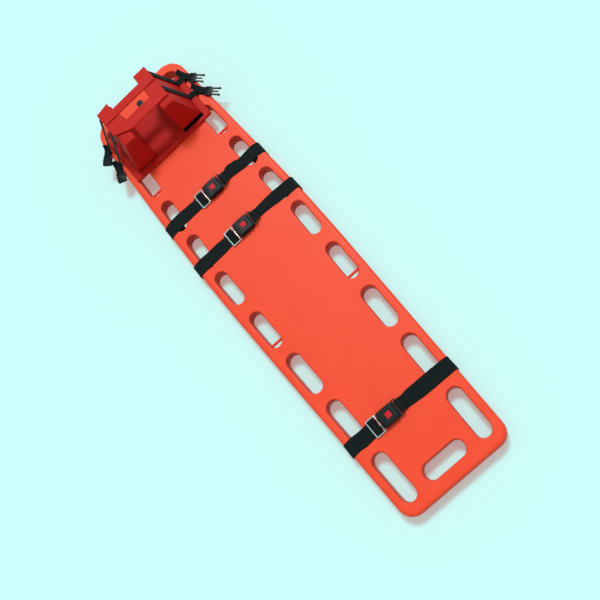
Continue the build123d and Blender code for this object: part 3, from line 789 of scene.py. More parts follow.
@dataclass
class Board:
    """The moulded board: its plan, its edges, its hand-holds and the runner below.

    Each row of the holds is a place along the board, a length and a width, for one on either side.
    """

    length: float = 1.840
    foot_width: float = 0.408
    chest_width: float = 0.468
    head_width: float = 0.418
    chest_y: float = 0.110
    bend_radius: float = 6.0
    foot_radius: float = 0.050
    head_radius: float = 0.070
    top: float = 0.056
    underside: float = 0.008
    top_round: float = 0.012
    bottom_round: float = 0.008
    hold_round: float = 0.005
    side_rim: float = 0.030
    head_rim: float = 0.040
    runner_width: float = 0.196
    runner_half_length: float = 0.805
    runner_radius: float = 0.060
    groove_width: float = 0.024
    groove_x: float = 0.055
    groove_half_length: float = 0.745
    groove_depth: float = 0.004
    holds: tuple[tuple[float, float, float], ...] = (
        (0.588, 0.142, 0.048),
        (0.408, 0.138, 0.048),
        (0.2295, 0.147, 0.048),
        (0.051, 0.142, 0.048),
        (-0.151, 0.150, 0.048),
        (-0.353, 0.160, 0.054),
        (-0.571, 0.184, 0.054),
        (-0.787, 0.180, 0.054),
    )
    foot_hold: tuple[float, float, float] = (-0.845, 0.156, 0.056)
    hold_under_round: float = 0.003
    corner_hold_width: float = 0.046
    corner_hold_inner_x: float = 0.096
    corner_hold_low_y: float = 0.786
    bead: float = 0.0004
    bead_half: float = 0.0012

    def edge_x(self, y: float) -> float:
        """Half width of the board at a place along it."""
        half = self.length / 2
        if y < self.chest_y:
            widening = self.chest_width - self.foot_width
            return self.foot_width / 2 + (y + half) * widening / 2 / (self.chest_y + half)
        narrowing = self.chest_width - self.head_width
        return self.chest_width / 2 - (y - self.chest_y) * narrowing / 2 / (half - self.chest_y)

    def slope(self, y: float) -> float:
        """Angle of the right-hand side to the Y axis, positive where it widens."""
        step = 0.01
        return math.atan2(self.edge_x(y + step) - self.edge_x(y - step), 2 * step)

    def outline(self) -> Loop:
        """Outline of the whole board."""
        half = self.length / 2
        corners = [
            (self.foot_width / 2, -half),
            (self.chest_width / 2, self.chest_y),
            (self.head_width / 2, half),
            (-self.head_width / 2, half),
            (-self.chest_width / 2, self.chest_y),
            (-self.foot_width / 2, -half),
        ]
        radii = [self.foot_radius, self.bend_radius, self.head_radius]
        return rounded_loop(corners, radii + radii[::-1], step=6.0)

    def corner_hold(self, side: int) -> Loop:
        """Outline of the hand-hold round one head corner."""
        high_y = self.length / 2 - self.head_rim
        outer_x = self.edge_x(high_y) - self.side_rim
        inner_x = outer_x - self.corner_hold_width
        low_y = high_y - self.corner_hold_width
        corners = [
            (self.corner_hold_inner_x, high_y),
            (self.corner_hold_inner_x, low_y),
            (inner_x, low_y),
            (inner_x, self.corner_hold_low_y),
            (outer_x, self.corner_hold_low_y),
            (outer_x, high_y),
        ]
        radii = [0.020, 0.020, 0.010, 0.020, 0.020, self.head_radius - self.side_rim]
        if side < 0:
            corners = [(-x, y) for x, y in reversed(corners)]
            radii = radii[::-1]
        return rounded_loop(corners, radii)

    def hold_loops(self) -> list[Loop]:
        """Outlines of all hand-holds."""
        loops = []
        for y, length, width in self.holds:
            x = self.edge_x(y) - self.side_rim - width / 2
            for side in (1, -1):
                loops.append(slot_loop((side * x, y), length, width, side * self.slope(y)))
        y, length, width = self.foot_hold
        loops.append(slot_loop((0, y), length, width, math.pi / 2))
        return loops + [self.corner_hold(side) for side in (1, -1)]

    def add_runner(self, shell: PlanShell, below: Sequence[list]) -> None:
        """Adds the underside, and the runner below it with its two grooves.

        Args:
            shell: The board's shell.
            below: Lower edges of the rim and of every hand-hold.
        """
        x, y = self.runner_width / 2, self.runner_half_length
        runner = rounded_loop([(x, -y), (x, y), (-x, y), (-x, -y)], [self.runner_radius] * 4)
        rings = [
            (0.0015, self.underside),
            (0.0, self.underside),
            (0.0, 0.005),
            (-0.001, 0.0035),
            (-0.0045, 0.0),
            (-0.006, 0.0),
        ]
        root, foot = shell.wall(runner, rings)
        shell.flat(*below, root)
        sole = [foot]
        length = 2 * self.groove_half_length
        for side in (1, -1):
            groove = slot_loop((side * self.groove_x, 0.0), length, self.groove_width, 0.0)
            mouth, floor = shell.wall(groove, [(0.001, 0.0), (0.0, 0.0008), (-0.001, self.groove_depth)])
            sole.append(mouth)
            shell.flat(floor)
        shell.flat(*sole)

    def build_shell(self) -> bpy.types.Object:
        """Builds the moulded shell with rounded hand-holds, a parting bead and the runner."""
        shell = PlanShell()
        rings = edge_profile(self.top, self.underside, self.top_round, self.bottom_round, -1)
        middle = (self.top + self.underside) / 2
        bead = [(0.0, middle + self.bead_half), (self.bead, middle), (0.0, middle - self.bead_half)]
        # The painted shade runs along the foot of the upper edge: ring 0 is the flat, so the edge ends at
        # `turn`.
        turn = EDGE_STEPS + 1
        rings = rings[: turn + 1] + bead + rings[turn + 1 :]
        upper, lower = shell.wall(self.outline(), rings, range(turn, turn + 4))
        above, below = [upper], [lower]
        for loop in self.hold_loops():
            rings = edge_profile(self.top, self.underside, self.hold_round, self.hold_under_round, 1)
            # Round each hand-hold the painted shade takes the lower rings of its upper edge.
            upper, lower = shell.wall(loop, rings, range(turn - 3, turn + 1))
            above.append(upper)
            below.append(lower)
        shell.flat(*above)
        self.add_runner(shell, below)
        return shell.finish("board_shell", 35.0)


def sewing_tree(material: bpy.types.Material) -> bpy.types.NodeTree:
    """Geometry Nodes that lay a short thread at even steps along each line of a mesh.

    Args:
        material: Finish of the threads.

    Returns:
        The tree, with inputs Pitch, Stitch and Thread.
    """
    tree = bpy.data.node_groups.new("sewing", "GeometryNodeTree")
    tree.interface.new_socket("Geometry", in_out="INPUT", socket_type="NodeSocketGeometry")
    for name in ("Pitch", "Stitch", "Thread"):
        tree.interface.new_socket(name, in_out="INPUT", socket_type="NodeSocketFloat")
    tree.interface.new_socket("Geometry", in_out="OUTPUT", socket_type="NodeSocketGeometry")
    given = add_node(tree, "NodeGroupInput")
    curve = add_node(tree, "GeometryNodeMeshToCurve", {"Mesh": given.outputs["Geometry"]})
    points = add_node(
        tree,
        "GeometryNodeCurveToPoints",
        {"Curve": curve.outputs["Curve"], "Length": given.outputs["Pitch"]},
        mode="LENGTH",
    )
    thread = add_node(tree, "GeometryNodeMeshUVSphere", {"Segments": 6, "Rings": 4, "Radius": 1.0})
    size = add_node(
        tree,
        "ShaderNodeCombineXYZ",
        {"X": given.outputs["Thread"], "Y": given.outputs["Thread"], "Z": given.outputs["Stitch"]},
    )
    laid = add_node(
        tree,
        "GeometryNodeInstanceOnPoints",
        {
            "Points": points.outputs["Points"],
            "Instance": thread.outputs["Mesh"],
            "Rotation": points.outputs["Rotation"],
            "Scale": size.outputs["Vector"],
        },
    )
    real = add_node(tree, "GeometryNodeRealizeInstances", {"Geometry": laid.outputs["Instances"]})
    dressed = add_node(
        tree, "GeometryNodeSetMaterial", {"Geometry": real.outputs["Geometry"], "Material": material}
    )
    add_node(tree, "NodeGroupOutput", {"Geometry": dressed.outputs["Geometry"]})
    return tree


def laid_along(
    name: str, lines: Sequence[Sequence[Vector]], tree: bpy.types.NodeTree, values: dict[str, float]
) -> bpy.types.Object:
    """A mesh that a Geometry Nodes tree lays along lines.

    Args:
        name: Name of the piece.
        lines: Points of each line.
        tree: Tree that makes the piece.
        values: Values of the tree's named inputs.

    Returns:
        The new object, with no modifier left.
    """
    bm = bmesh.new()
    for line in lines:
        verts = [bm.verts.new(point) for point in line]
        for first, second in zip(verts, verts[1:]):
            bm.edges.new((first, second))
    seed = linked_object(f"{name}_lines", mesh_from(f"{name}_lines", bm))
    modifier = seed.modifiers.new("laid", "NODES")
    modifier.node_group = tree
    for item in tree.interface.items_tree:
        if item.in_out == "INPUT" and item.name in values:
            modifier[item.identifier] = values[item.name]
    return linked_object(name, plain_mesh(seed))


@dataclass
class Finishes:
    """The materials that the pieces share."""

    board: bpy.types.Material
    webbing: bpy.types.Material
    thread: bpy.types.Material
    black: bpy.types.Material
    clip: bpy.types.Material
    red: bpy.types.Material
    chrome: bpy.types.Material
    rolled: bpy.types.Material
    foam: bpy.types.Material
    # The pads' skin is a lit copy of the foam's skin, painted lighter.
    pad: bpy.types.Material
    hooks: bpy.types.Material
    core: bpy.types.Material


StrapKeys = tuple[tuple[float, float, float, float], ...]


@dataclass
class BodyStrap:
    """A body strap: two halves of webbing looped round the rim, and a push-button buckle.

    The keys of a half are rows of distance outward, shift along the board, width and crown.
    """

    name: str
    board: Board
    hold: int
    right_keys: StrapKeys
    left_keys: StrapKeys
    # The webbing, and its play on the board and under its own end, which is sewn inside the rim's loop.
    width: float = 0.050
    thickness: float = 0.002
    ripple: float = 0.0007
    seat: float = 0.0563
    gap: float = 0.0003
    rim_gap: float = 0.0004
    sewn: float = 0.007
    # The tongue's bar, which the right half is sewn round, and the slope from it down to the board.
    half_body: float = 0.030
    plate: float = 0.0173
    slot_from_end: float = 0.007
    bar: float = 0.004
    bar_height: float = 0.01055
    bar_loop: float = 0.00255
    slope_run: float = 0.020
    # The left half's end, and its hump over the adjuster's middle bar.
    first_end: float = 0.0426
    middle_bar: float = 0.0535
    pitch: float = 0.0165
    hump: float = 0.0639
    # The stitches, in rows across the webbing.
    row_gap: float = 0.003
    row_half: float = 0.016
    stitch_pitch: float = 0.0034
    stitch_half: float = 0.0013
    thread_radius: float = 0.0005
    spring_keep: float = 0.30

    def __post_init__(self) -> None:
        """Reads the buckle's place from the frame."""
        low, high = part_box(f"{self.name}_buckle_cover")
        self.buckle_x = (low[0] + high[0]) / 2
        self.y = (low[1] + high[1]) / 2
        self.top = self.seat + self.thickness / 2
        self.bar_end = self.buckle_x + self.half_body + self.plate

    def rim_points(self) -> tuple[list[tuple[float, float]], list[float]]:
        """Corners and bends of the webbing round the rim, as distance outward and height."""
        half = self.thickness / 2
        slope = abs(self.board.slope(self.y))
        outside = self.board.edge_x(self.y) + self.width / 2 * math.tan(slope) + self.rim_gap + half
        below = self.board.underside - self.rim_gap - half
        hold_width = self.board.holds[self.hold][2]
        inside = self.board.edge_x(self.y) - self.board.side_rim - hold_width / 2
        under = self.top - self.thickness - self.gap
        corners = [
            (outside, self.top),
            (outside, below),
            (inside, below),
            (inside, under),
            (inside - self.sewn, under),
        ]
        bends = [
            self.board.top_round + self.gap + half,
            self.board.bottom_round + self.rim_gap + half,
            0.006,
            0.003,
        ]
        return corners, bends

    def right_start(self) -> tuple[list[tuple[float, float]], list[float]]:
        """Corners and bends of the right half, from its sewn end round the tongue's bar to the board."""
        middle = self.seat + self.bar_height
        slot = self.bar_end - self.slot_from_end
        start = [
            (self.bar_end + self.bar, middle - self.bar_loop),
            (slot, middle - self.bar_loop),
            (slot, middle + self.bar_loop),
            (self.bar_end + self.bar / 2, middle + self.bar_loop),
            (self.bar_end + self.bar / 2 + self.slope_run, self.top),
        ]
        return start, [0.002, 0.002, 0.006, 0.012]

    def left_start(self) -> tuple[list[tuple[float, float]], list[float]]:
        """Corners and bends of the left half, from its end over the adjuster's middle bar to the board."""
        middle = self.middle_bar - self.buckle_x
        ramp = self.pitch / 2
        start = [
            (self.first_end - self.buckle_x, self.top),
            (middle - ramp + 0.001, self.top),
            (middle - ramp / 2, self.hump),
            (middle + ramp / 2, self.hump),
            (middle + ramp - 0.001, self.top),
        ]
        return start, [0.002, 0.003, 0.003, 0.002]

    def webbing(self, hand: Hand, material: bpy.types.Material) -> None:
        """Builds one half of the webbing, from the buckle round the rim.

        Args:
            hand: Side of the board.
            material: Finish of the webbing.
        """
        right = hand is Hand.RIGHT
        start, bends = self.right_start() if right else self.left_start()
        keys = self.right_keys if right else self.left_keys
        corners, rim_bends = self.rim_points()
        line = filleted_line(start + corners, bends + rim_bends)
        far = max(range(len(line)), key=lambda i: (line[i].x, line[i].y))
        centres, across, widths, crowns = [], [], [], []
        for i, point in enumerate(line):
            shift, width, crown = smooth_keys(keys, point.x)
            if i > far:
                back = 1 - (i - far) / (len(line) - 1 - far)
                shift, width, crown = shift * back, self.width + (width - self.width) * back, 0.0
            centres.append(Vector((hand.value * point.x, self.y + shift, point.y)))
            widths.append(width)
            crowns.append(crown if point.y < self.top + 0.0005 else 0.0)
            across.append(Vector((0.0, hand.value, 0.0)))
        for i in range(1, len(centres) - 1):
            ahead = centres[i + 1] - centres[i - 1]
            flat = Vector((-ahead.y, ahead.x, 0.0))
            if flat.length > 0.3 * ahead.length and i < far:
                across[i] = flat.normalized()
        node = f"{self.name}_{hand.word}_webbing"
        band = Band(centres, across, widths, crowns, self.thickness, self.ripple)
        place(band.build(f"{self.name}_{hand.word}_strap"), BODY_OF[node], material, [node])

    def sewing(self, tree: bpy.types.NodeTree, material: bpy.types.Material) -> None:
        """Three rows of stitches where the right half is sewn round the tongue's bar."""
        start = self.bar_end + self.bar
        high = self.seat + self.bar_height + self.bar_loop + self.thickness / 2
        rise = (high - self.seat - self.thickness) / self.slope_run
        lines = []
        for k in range(3):
            x = start + k * self.row_gap
            z = high - max(0.0, x - start + 0.001) * rise * 0.75 + 0.0002
            lines.append([Vector((x, self.y + end, z)) for end in (-self.row_half, self.row_half)])
        values = {"Pitch": self.stitch_pitch, "Stitch": self.stitch_half, "Thread": self.thread_radius}
        piece = laid_along(f"{self.name}_bar_stitches", lines, tree, values)
        place(piece, BODY_OF[f"{self.name}_right_webbing"], material)

    def spring(self, material: bpy.types.Material) -> None:
        """Leaf spring, as a rounded copy with a mesh of its own."""
        node = f"{self.name}_spring"
        piece = rounded_copy(node, f"{node}_leaf", 0.0001, 1)
        place(piece, BODY_OF[node], material, [node])
        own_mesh(piece)

    def build(self, finishes: Finishes, sewing: bpy.types.NodeTree) -> None:
        """Builds both halves and the buckle.

        Args:
            finishes: The shared materials.
            sewing: Tree that lays the stitches.
        """
        for hand in Hand:
            self.webbing(hand, finishes.webbing)
        self.sewing(sewing, finishes.thread)
        parts = (
            ("buckle_base", Slot.BLACK_PLASTIC, finishes.black, 0.0009),
            ("buckle_cover", Slot.BLACK_PLASTIC, finishes.black, 0.0014),
            ("tongue", Slot.BLACK_PLASTIC, finishes.black, 0.0007),
            ("button", Slot.BUTTON, finishes.red, 0.0007),
            ("adjuster", Slot.STEEL, finishes.chrome, 0.0010),
        )
        for part, slot, material, width in parts:
            node = f"{self.name}_{part}"
            place(rounded_copy(node, f"{node}_rounded", width), BODY_OF[node], material, [node])
        dress_node(f"{self.name}_latch", finishes.rolled)
        self.spring(finishes.rolled)


@dataclass
class FoamPiece:
    """A piece of closed-cell foam in a dipped skin, softened from its plain solid."""

    node: str
    name: str
    slot: Slot
    fill: float
    crown: float
    flat_top: bool
    voxel: float = 0.003
    rounding: int = 4
    dent: float = 0.0004
    dents_per_metre: float = 26.0
    reshape: Callable[[Vector], Vector] | None = None

    def __post_init__(self) -> None:
        """Reads the plain solid's place from the frame."""
        low, high = (Vector(c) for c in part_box(self.node))
        self.middle, self.half = (low + high) / 2, (high - low) / 2

    def skin(self) -> bmesh.types.BMesh:
        """The plain solid under even small faces, with its edges rounded by smoothing."""
        seed = linked_object(f"{self.name}_seed", mesh_from(self.name, merged_copy(self.node)))
        remesh = seed.modifiers.new("skin", "REMESH")
        remesh.mode = "VOXEL"
        remesh.voxel_size = self.voxel
        made = plain_mesh(seed)
        bm = bmesh.new()
        bm.from_mesh(made)
        bpy.data.meshes.remove(made)
        for _ in range(self.rounding):
            bmesh.ops.smooth_vert(
                bm, verts=bm.verts, factor=0.5, use_axis_x=True, use_axis_y=True, use_axis_z=True
            )
        bm.normal_update()
        return bm

    def rise(self, spot: Vector, normal: Vector) -> float:
        """Rise of the skin at a place: faces that may crown do so, and all are slightly uneven."""
        uneven = self.dent * noise.noise(spot * self.dents_per_metre)
        if abs(normal.z) >= 0.5 and (normal.z <= 0 or self.flat_top):
            return min(0.0, uneven)
        share = 1.0
        for axis in range(3):
            q = max(-1.0, min(1.0, (spot[axis] - self.middle[axis]) / self.half[axis]))
            share *= 1 - (1 - abs(normal[axis])) * q * q
        return uneven + self.crown * max(0.0, share)

    def build(self, material: bpy.types.Material) -> None:
        """Builds the piece and places it."""
        bm = self.skin()
        for vert in bm.verts:
            normal = vert.normal.copy()
            vert.co += normal * self.rise(vert.co, normal)
            if self.reshape:
                vert.co = self.reshape(vert.co.copy())
        piece = finish_mesh(self.name, bm, 60.0)
        place(piece, BODY_OF[self.node], material, [self.node])


@dataclass
class Tie:
    """A tie of the immobiliser: webbing from a pad down past the block to a side-release clip half.

    Its corners are distances outward and heights. At the last of them it turns towards the foot end by so
    many degrees, and its clip starts at its reach from there.
    """

    name: str
    hand: Hand
    y: float
    corners: tuple[tuple[float, float], ...]
    bends: tuple[float, ...]
    turn: float
    reach: float
    tail: float
    pad_top: float = 0.2141
    width: float = 0.025
    thickness: float = 0.0016
    ripple: float = 0.0004
    # The webbing turns towards its clip in a knee, where it folds a little narrower.
    knee_radius: float = 0.013
    knee_width: float = 0.022
    knee_steps: int = 7
    reach_steps: int = 5
    # The tail lies on the clip half and curls up at its end.
    tail_rise: float = 0.0094
    tail_curl: float = 0.016
    tail_side: float = 0.010
    tail_run: tuple[tuple[float, float], ...] = (
        (0.010, 0.0),
        (0.003, 0.0006),
        (-0.006, 0.0010),
        (-0.014, -0.0020),
        (-0.020, -0.0030),
    )
    seam_insets: tuple[float, ...] = (0.0045, 0.0085)
    # The clip's finger ribs: how many, from where, and how far apart.
    ribs: int = 4
    rib_start: float = 0.0175
    rib_gap: float = 0.0022
    rib_height: float = 0.0084
    rib_half: float = 0.011

    def __post_init__(self) -> None:
        """Works out the directions of the clip, and the body that all of it rides on."""
        angle = math.radians(self.turn)
        self.ahead = Vector((self.hand.value * math.cos(angle), -math.sin(angle), 0.0))
        self.side_way = Vector((-self.ahead.y, self.ahead.x, 0.0))
        self.knee = Vector((self.hand.value * self.corners[-1][0], self.y, self.corners[-1][1]))
        self.end = self.knee + self.ahead * self.reach
        self.body = BODY_OF[f"{self.name}_tie"]

    def build_webbing(self, material: bpy.types.Material) -> None:
        """Builds the webbing from the pad down to the knee, and on to the clip."""
        side, angle = self.hand.value, math.radians(self.turn)
        cut = self.knee_radius * math.tan(angle / 2)
        corners = list(self.corners[:-1]) + [(self.corners[-1][0] - cut, self.corners[-1][1])]
        line = filleted_line(corners, self.bends)
        centres = [Vector((side * p.x, self.y, p.y)) for p in line]
        across = [Vector((0.0, side, 0.0)) for _ in line]
        widths = [self.width] * len(line)
        out, down = Vector((side, 0.0, 0.0)), Vector((0.0, -1.0, 0.0))
        for k in range(1, self.knee_steps + 1):
            a = angle * k / self.knee_steps
            point = self.knee - out * cut + out * self.knee_radius * math.sin(a)
            centres.append(point + down * self.knee_radius * (1 - math.cos(a)))
            across.append(Vector((side * math.sin(a), math.cos(a), 0.0)) * side)
            narrow = 1 - abs(2 * k / self.knee_steps - 1)
            widths.append(self.width + (self.knee_width - self.width) * narrow)
        last = centres[-1]
        for k in range(1, self.reach_steps + 1):
            centres.append(last.lerp(self.end, k / self.reach_steps))
            across.append(across[-1])
            widths.append(self.width)
        band = Band(centres, across, widths, [0.0] * len(centres), self.thickness, self.ripple)
        piece = band.build(f"{self.name}_tie_webbing")
        place(piece, self.body, material, [f"{self.name}_tie"])

    def build_tail(self, material: bpy.types.Material) -> None:
        """Builds the free end past the clip, which drifts sideways as it curls up."""
        last_u, last_h = self.tail_run[-1]
        run = list(self.tail_run)
        run += [(last_u - self.tail * s, last_h + self.tail_curl * s * s) for s in (0.2, 0.4, 0.6, 0.8, 1.0)]
        rise = Vector((0.0, 0.0, self.tail_rise))
        centres = []
        for u, h in run:
            drift = self.side_way * self.hand.value * self.tail_side * max(0.0, -u / 0.05)
            centres.append(self.end + self.ahead * u + rise + Vector((0.0, 0.0, h)) + drift)
        count = len(run)
        widths = [self.width - 0.001] * count
        band = Band(centres, [self.side_way] * count, widths, [0.0] * count, self.thickness)
        place(band.build(f"{self.name}_tie_tail"), self.body, material)

    def build_seam(self, tree: bpy.types.NodeTree, material: bpy.types.Material) -> None:
        """Builds the rows of stitches that hold the tie in its pad."""
        lines = []
        for inset in self.seam_insets:
            x = self.hand.value * (self.corners[0][0] + 0.0015 - inset)
            ends = (self.y - self.width / 2, self.y + self.width / 2)
            lines.append([Vector((x, y, self.pad_top)) for y in ends])
        values = {"Pitch": 0.0036, "Stitch": 0.0013, "Thread": 0.0006}
        piece = laid_along(f"{self.name}_tie_stitches", lines, tree, values)
        place(piece, self.body, material)

    def build_clip(self, tree: bpy.types.NodeTree, material: bpy.types.Material) -> None:
        """Builds the clip half with its finger ribs."""
        clip = f"{self.name}_clip"
        piece = rounded_copy(clip, f"{clip}_moulded", 0.0010)
        place(piece, self.body, material, [clip])
        lines = []
        for k in range(self.ribs):
            along = self.ahead * (self.rib_start + self.rib_gap * k)
            middle = self.end + along + Vector((0.0, 0.0, self.rib_height))
            lines.append([middle - self.side_way * self.rib_half, middle + self.side_way * self.rib_half])
        values = {"Pitch": 2 * self.rib_half, "Stitch": 0.010, "Thread": 0.0007}
        piece = laid_along(f"{self.name}_clip_ribs", lines, tree, values)
        place(piece, self.body, material)

    def build(self, finishes: Finishes, seam: bpy.types.NodeTree, rib: bpy.types.NodeTree) -> None:
        """Builds the tie, its tail, its stitches and its clip half.

        Args:
            finishes: The shared materials.
            seam: Tree that lays the stitches.
            rib: Tree that lays the ribs.
        """
        self.build_webbing(finishes.webbing)
        self.build_tail(finishes.webbing)
        self.build_seam(seam, finishes.pad)
        self.build_clip(rib, finishes.clip)


@dataclass
class HeadImmobiliser:
    """Base pad, two blocks on hook-and-loop, two strap pads across them, and their ties and clips."""

    pad_seam: float = 0.2111
    board_level: float = 0.0571
    base_level: float = 0.0694
    hook_gap: float = 0.0021

    def chin_corner(self, point: Vector) -> Vector:
        """Draws in the chin pad's left corner towards the foot end."""
        low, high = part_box("chin_pad")
        reach = min(1.0, max(0.0, (-0.066 - point.x) / 0.062))
        cut = 0.030 * reach
        share = (high[1] - point.y) / (high[1] - low[1])
        return Vector((point.x, point.y + cut * share, point.z))

    def forehead_ear(self, point: Vector) -> Vector:
        """Draws in the forehead pad's left ear at the head end."""
        low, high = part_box("forehead_pad")
        reach = min(1.0, max(0.0, (-0.060 - point.x) / 0.060))
        share = (point.y - low[1]) / (high[1] - low[1])
        return Vector((point.x, point.y - 0.010 * reach * share, point.z))

    def nap(self, node: str, tree: bpy.types.NodeTree, finishes: Finishes) -> None:
        """Builds rows of hooks on the part of a patch that shows in front of its block.

        Args:
            node: The patch.
            tree: Tree that lays the hooks.
            finishes: The shared materials.
        """
        low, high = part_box(node)
        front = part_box(node.replace("grip_patch", "head_block"))[0][1]
        if front - low[1] < self.hook_gap:
            return
        lines = []
        for k in range(int((front - low[1]) / self.hook_gap)):
            y = low[1] + self.hook_gap * (k + 0.5)
            lines.append([Vector((x, y, high[2])) for x in (low[0] + 0.001, high[0] - 0.001)])
        values = {"Pitch": 0.0024, "Stitch": 0.0009, "Thread": 0.0009}
        place(laid_along(f"{node}_hooks", lines, tree, values), BODY_OF[node], finishes.hooks)

    def ties(self) -> list[Tie]:
        """The four ties with their routes, as distance outward and height."""
        right = (
            (0.1095, self.pad_seam),
            (0.1135, self.pad_seam),
            (0.158, self.base_level),
            (0.181, self.base_level),
            (0.186, self.board_level),
            (0.195, self.board_level),
        )
        left = (
            (0.1305, self.pad_seam),
            (0.1345, self.pad_seam),
            (0.202, self.board_level),
            (0.209, self.board_level),
        )
        right_bends, left_bends = (0.0020, 0.005, 0.003, 0.0025), (0.0020, 0.003)
        return [
            Tie("forehead_right", Hand.RIGHT, 0.799, right, right_bends, 52, 0.015, 0.030),
            Tie("forehead_left", Hand.LEFT, 0.800, left, left_bends, 48, 0.015, 0.016),
            Tie("chin_right", Hand.RIGHT, 0.718, right, right_bends, 50, 0.030, 0.034),
            Tie("chin_left", Hand.LEFT, 0.730, left, left_bends, 68, 0.036, 0.024),
        ]

    def build_foam(self, finishes: Finishes) -> None:
        """Builds the base pad, the blocks and the two pads across them."""
        foam = Slot.COATED_FOAM
        base = FoamPiece("base_pad", "base_cushion", foam, 0.9, 0.0, True, rounding=3, dent=0.0002)
        base.build(finishes.foam)
        for word in ("left", "right"):
            block = FoamPiece(f"{word}_head_block", f"{word}_wedge", foam, 0.9, 0.0012, True)
            block.build(finishes.foam)
            dress_node(f"{word}_grip_patch", finishes.hooks)
        for word, reshape in (("chin", self.chin_corner), ("forehead", self.forehead_ear)):
            pad = FoamPiece(f"{word}_pad", f"{word}_cushion", Slot.PAD_VINYL, 0.8, 0.0010, False, 0.002, 3)
            pad.reshape = reshape
            pad.build(finishes.pad)

    def build(self, finishes: Finishes) -> None:
        """Builds the whole immobiliser."""
        self.build_foam(finishes)
        hook_tree = sewing_tree(finishes.hooks)
        for node in ("left_grip_patch", "right_grip_patch"):
            self.nap(node, hook_tree, finishes)
        rib_tree = sewing_tree(finishes.clip)
        seam_tree = sewing_tree(finishes.pad)
        for tie in self.ties():
            tie.build(finishes, seam_tree, rib_tree)


@dataclass
class Studio:
    """Floor, lights and the camera. Colours given as numbers are linear."""

    camera_place: tuple[float, float, float] = (0.2249, -1.0402, 2.4246)
    camera_turn: tuple[float, float, float] = (11.966, 17.596, -39.518)
    focal_px: float = 766.5
    image_px: float = 600.0
    sensor_mm: float = 36.0
    backdrop_colour: str = "#CEFEFB"
    floor_lit: tuple[float, float, float, float] = (0.165, 0.769, 0.755, 1.0)
    floor_shade: tuple[float, float, float, float] = (0.452, 0.222, 0.210, 1.0)
    floor_bounce: str = "#B4BCBC"
    floor_half: float = 12.0
    floor_drop: float = 0.0002
    sky_colour: str = "#FFFCFA"
    sky_strength: float = 0.52
    sun_from: tuple[float, float, float] = (1.0, 1.8, 3.4)
    sun_angle: float = 14.0
    sun_strength: float = 1.9

    def for_viewer(
        self, tree: bpy.types.NodeTree, lighting: bpy.types.NodeSocket, shown: bpy.types.NodeSocket
    ) -> bpy.types.NodeSocket:
        """Shows one shader to the camera and mirrors, and lets another light the object.

        Args:
            tree: Shader tree.
            lighting: Shader that lights the object.
            shown: Shader that is seen.

        Returns:
            The mixed shader's socket.
        """
        rays = add_node(tree, "ShaderNodeLightPath").outputs
        mirror = add_node(
            tree,
            "ShaderNodeMath",
            {0: rays["Is Glossy Ray"], 1: rays["Is Transmission Ray"]},
            operation="MAXIMUM",
        )
        seen = add_node(
            tree, "ShaderNodeMath", {0: rays["Is Camera Ray"], 1: mirror.outputs[0]}, operation="MAXIMUM"
        )
        mixed = add_node(tree, "ShaderNodeMixShader", {0: seen.outputs[0], 1: lighting, 2: shown})
        return mixed.outputs[0]

    def build_camera(self) -> None:
        """Makes the camera at the fitted viewing angle."""
        data = bpy.data.cameras.new("camera")
        data.sensor_width = self.sensor_mm
        data.lens = self.focal_px / self.image_px * self.sensor_mm
        data.clip_end = 100.0
        camera = linked_object("camera", data)
        camera.location = self.camera_place
        camera.rotation_euler = [math.radians(a) for a in self.camera_turn]
        bpy.context.scene.camera = camera

    def build_floor(self) -> None:
        """Makes a pale floor that keeps its colour in view and takes soft shadows."""
        bm = bmesh.new()
        bmesh.ops.create_grid(bm, x_segments=1, y_segments=1, size=self.floor_half)
        bmesh.ops.translate(bm, verts=bm.verts, vec=(0, 0, -self.floor_drop))
        floor = linked_object("floor", mesh_from("floor", bm))
        material = bpy.data.materials.new("studio_floor")
        material.use_nodes = True
        tree = material.node_tree
        tree.nodes.clear()
        lit = add_node(tree, "ShaderNodeBsdfDiffuse", {"Color": self.floor_lit})
        glow = add_node(tree, "ShaderNodeEmission", {"Color": self.floor_shade, "Strength": 1.0})
        shown = add_node(tree, "ShaderNodeAddShader", {0: lit.outputs[0], 1: glow.outputs[0]})
        plain = add_node(tree, "ShaderNodeBsdfDiffuse", {"Color": linear(self.floor_bounce)})
        mixed = self.for_viewer(tree, plain.outputs[0], shown.outputs[0])
        add_node(tree, "ShaderNodeOutputMaterial", {"Surface": mixed})
        floor.data.materials.append(material)

    def build_lights(self) -> None:
        """Makes an even sky, and a soft sun from the head end's right."""
        world = bpy.data.worlds.new("studio")
        world.use_nodes = True
        tree = world.node_tree
        tree.nodes.clear()
        sky, backdrop = (
            add_node(tree, "ShaderNodeBackground", {"Color": linear(colour), "Strength": strength})
            for colour, strength in ((self.sky_colour, self.sky_strength), (self.backdrop_colour, 1.0))
        )
        mixed = self.for_viewer(tree, sky.outputs[0], backdrop.outputs[0])
        add_node(tree, "ShaderNodeOutputWorld", {"Surface": mixed})
        bpy.context.scene.world = world
        data = bpy.data.lights.new("key", "SUN")
        data.angle = math.radians(self.sun_angle)
        data.energy = self.sun_strength
        lamp = linked_object("key", data)
        lamp.location = self.sun_from
        lamp.rotation_euler = (-Vector(self.sun_from)).to_track_quat("-Z", "Y").to_euler()

    def build(self) -> None:
        """Makes the whole studio."""
        self.build_camera()
        self.build_floor()
        self.build_lights()
        bpy.context.scene.view_settings.view_transform = "Standard"


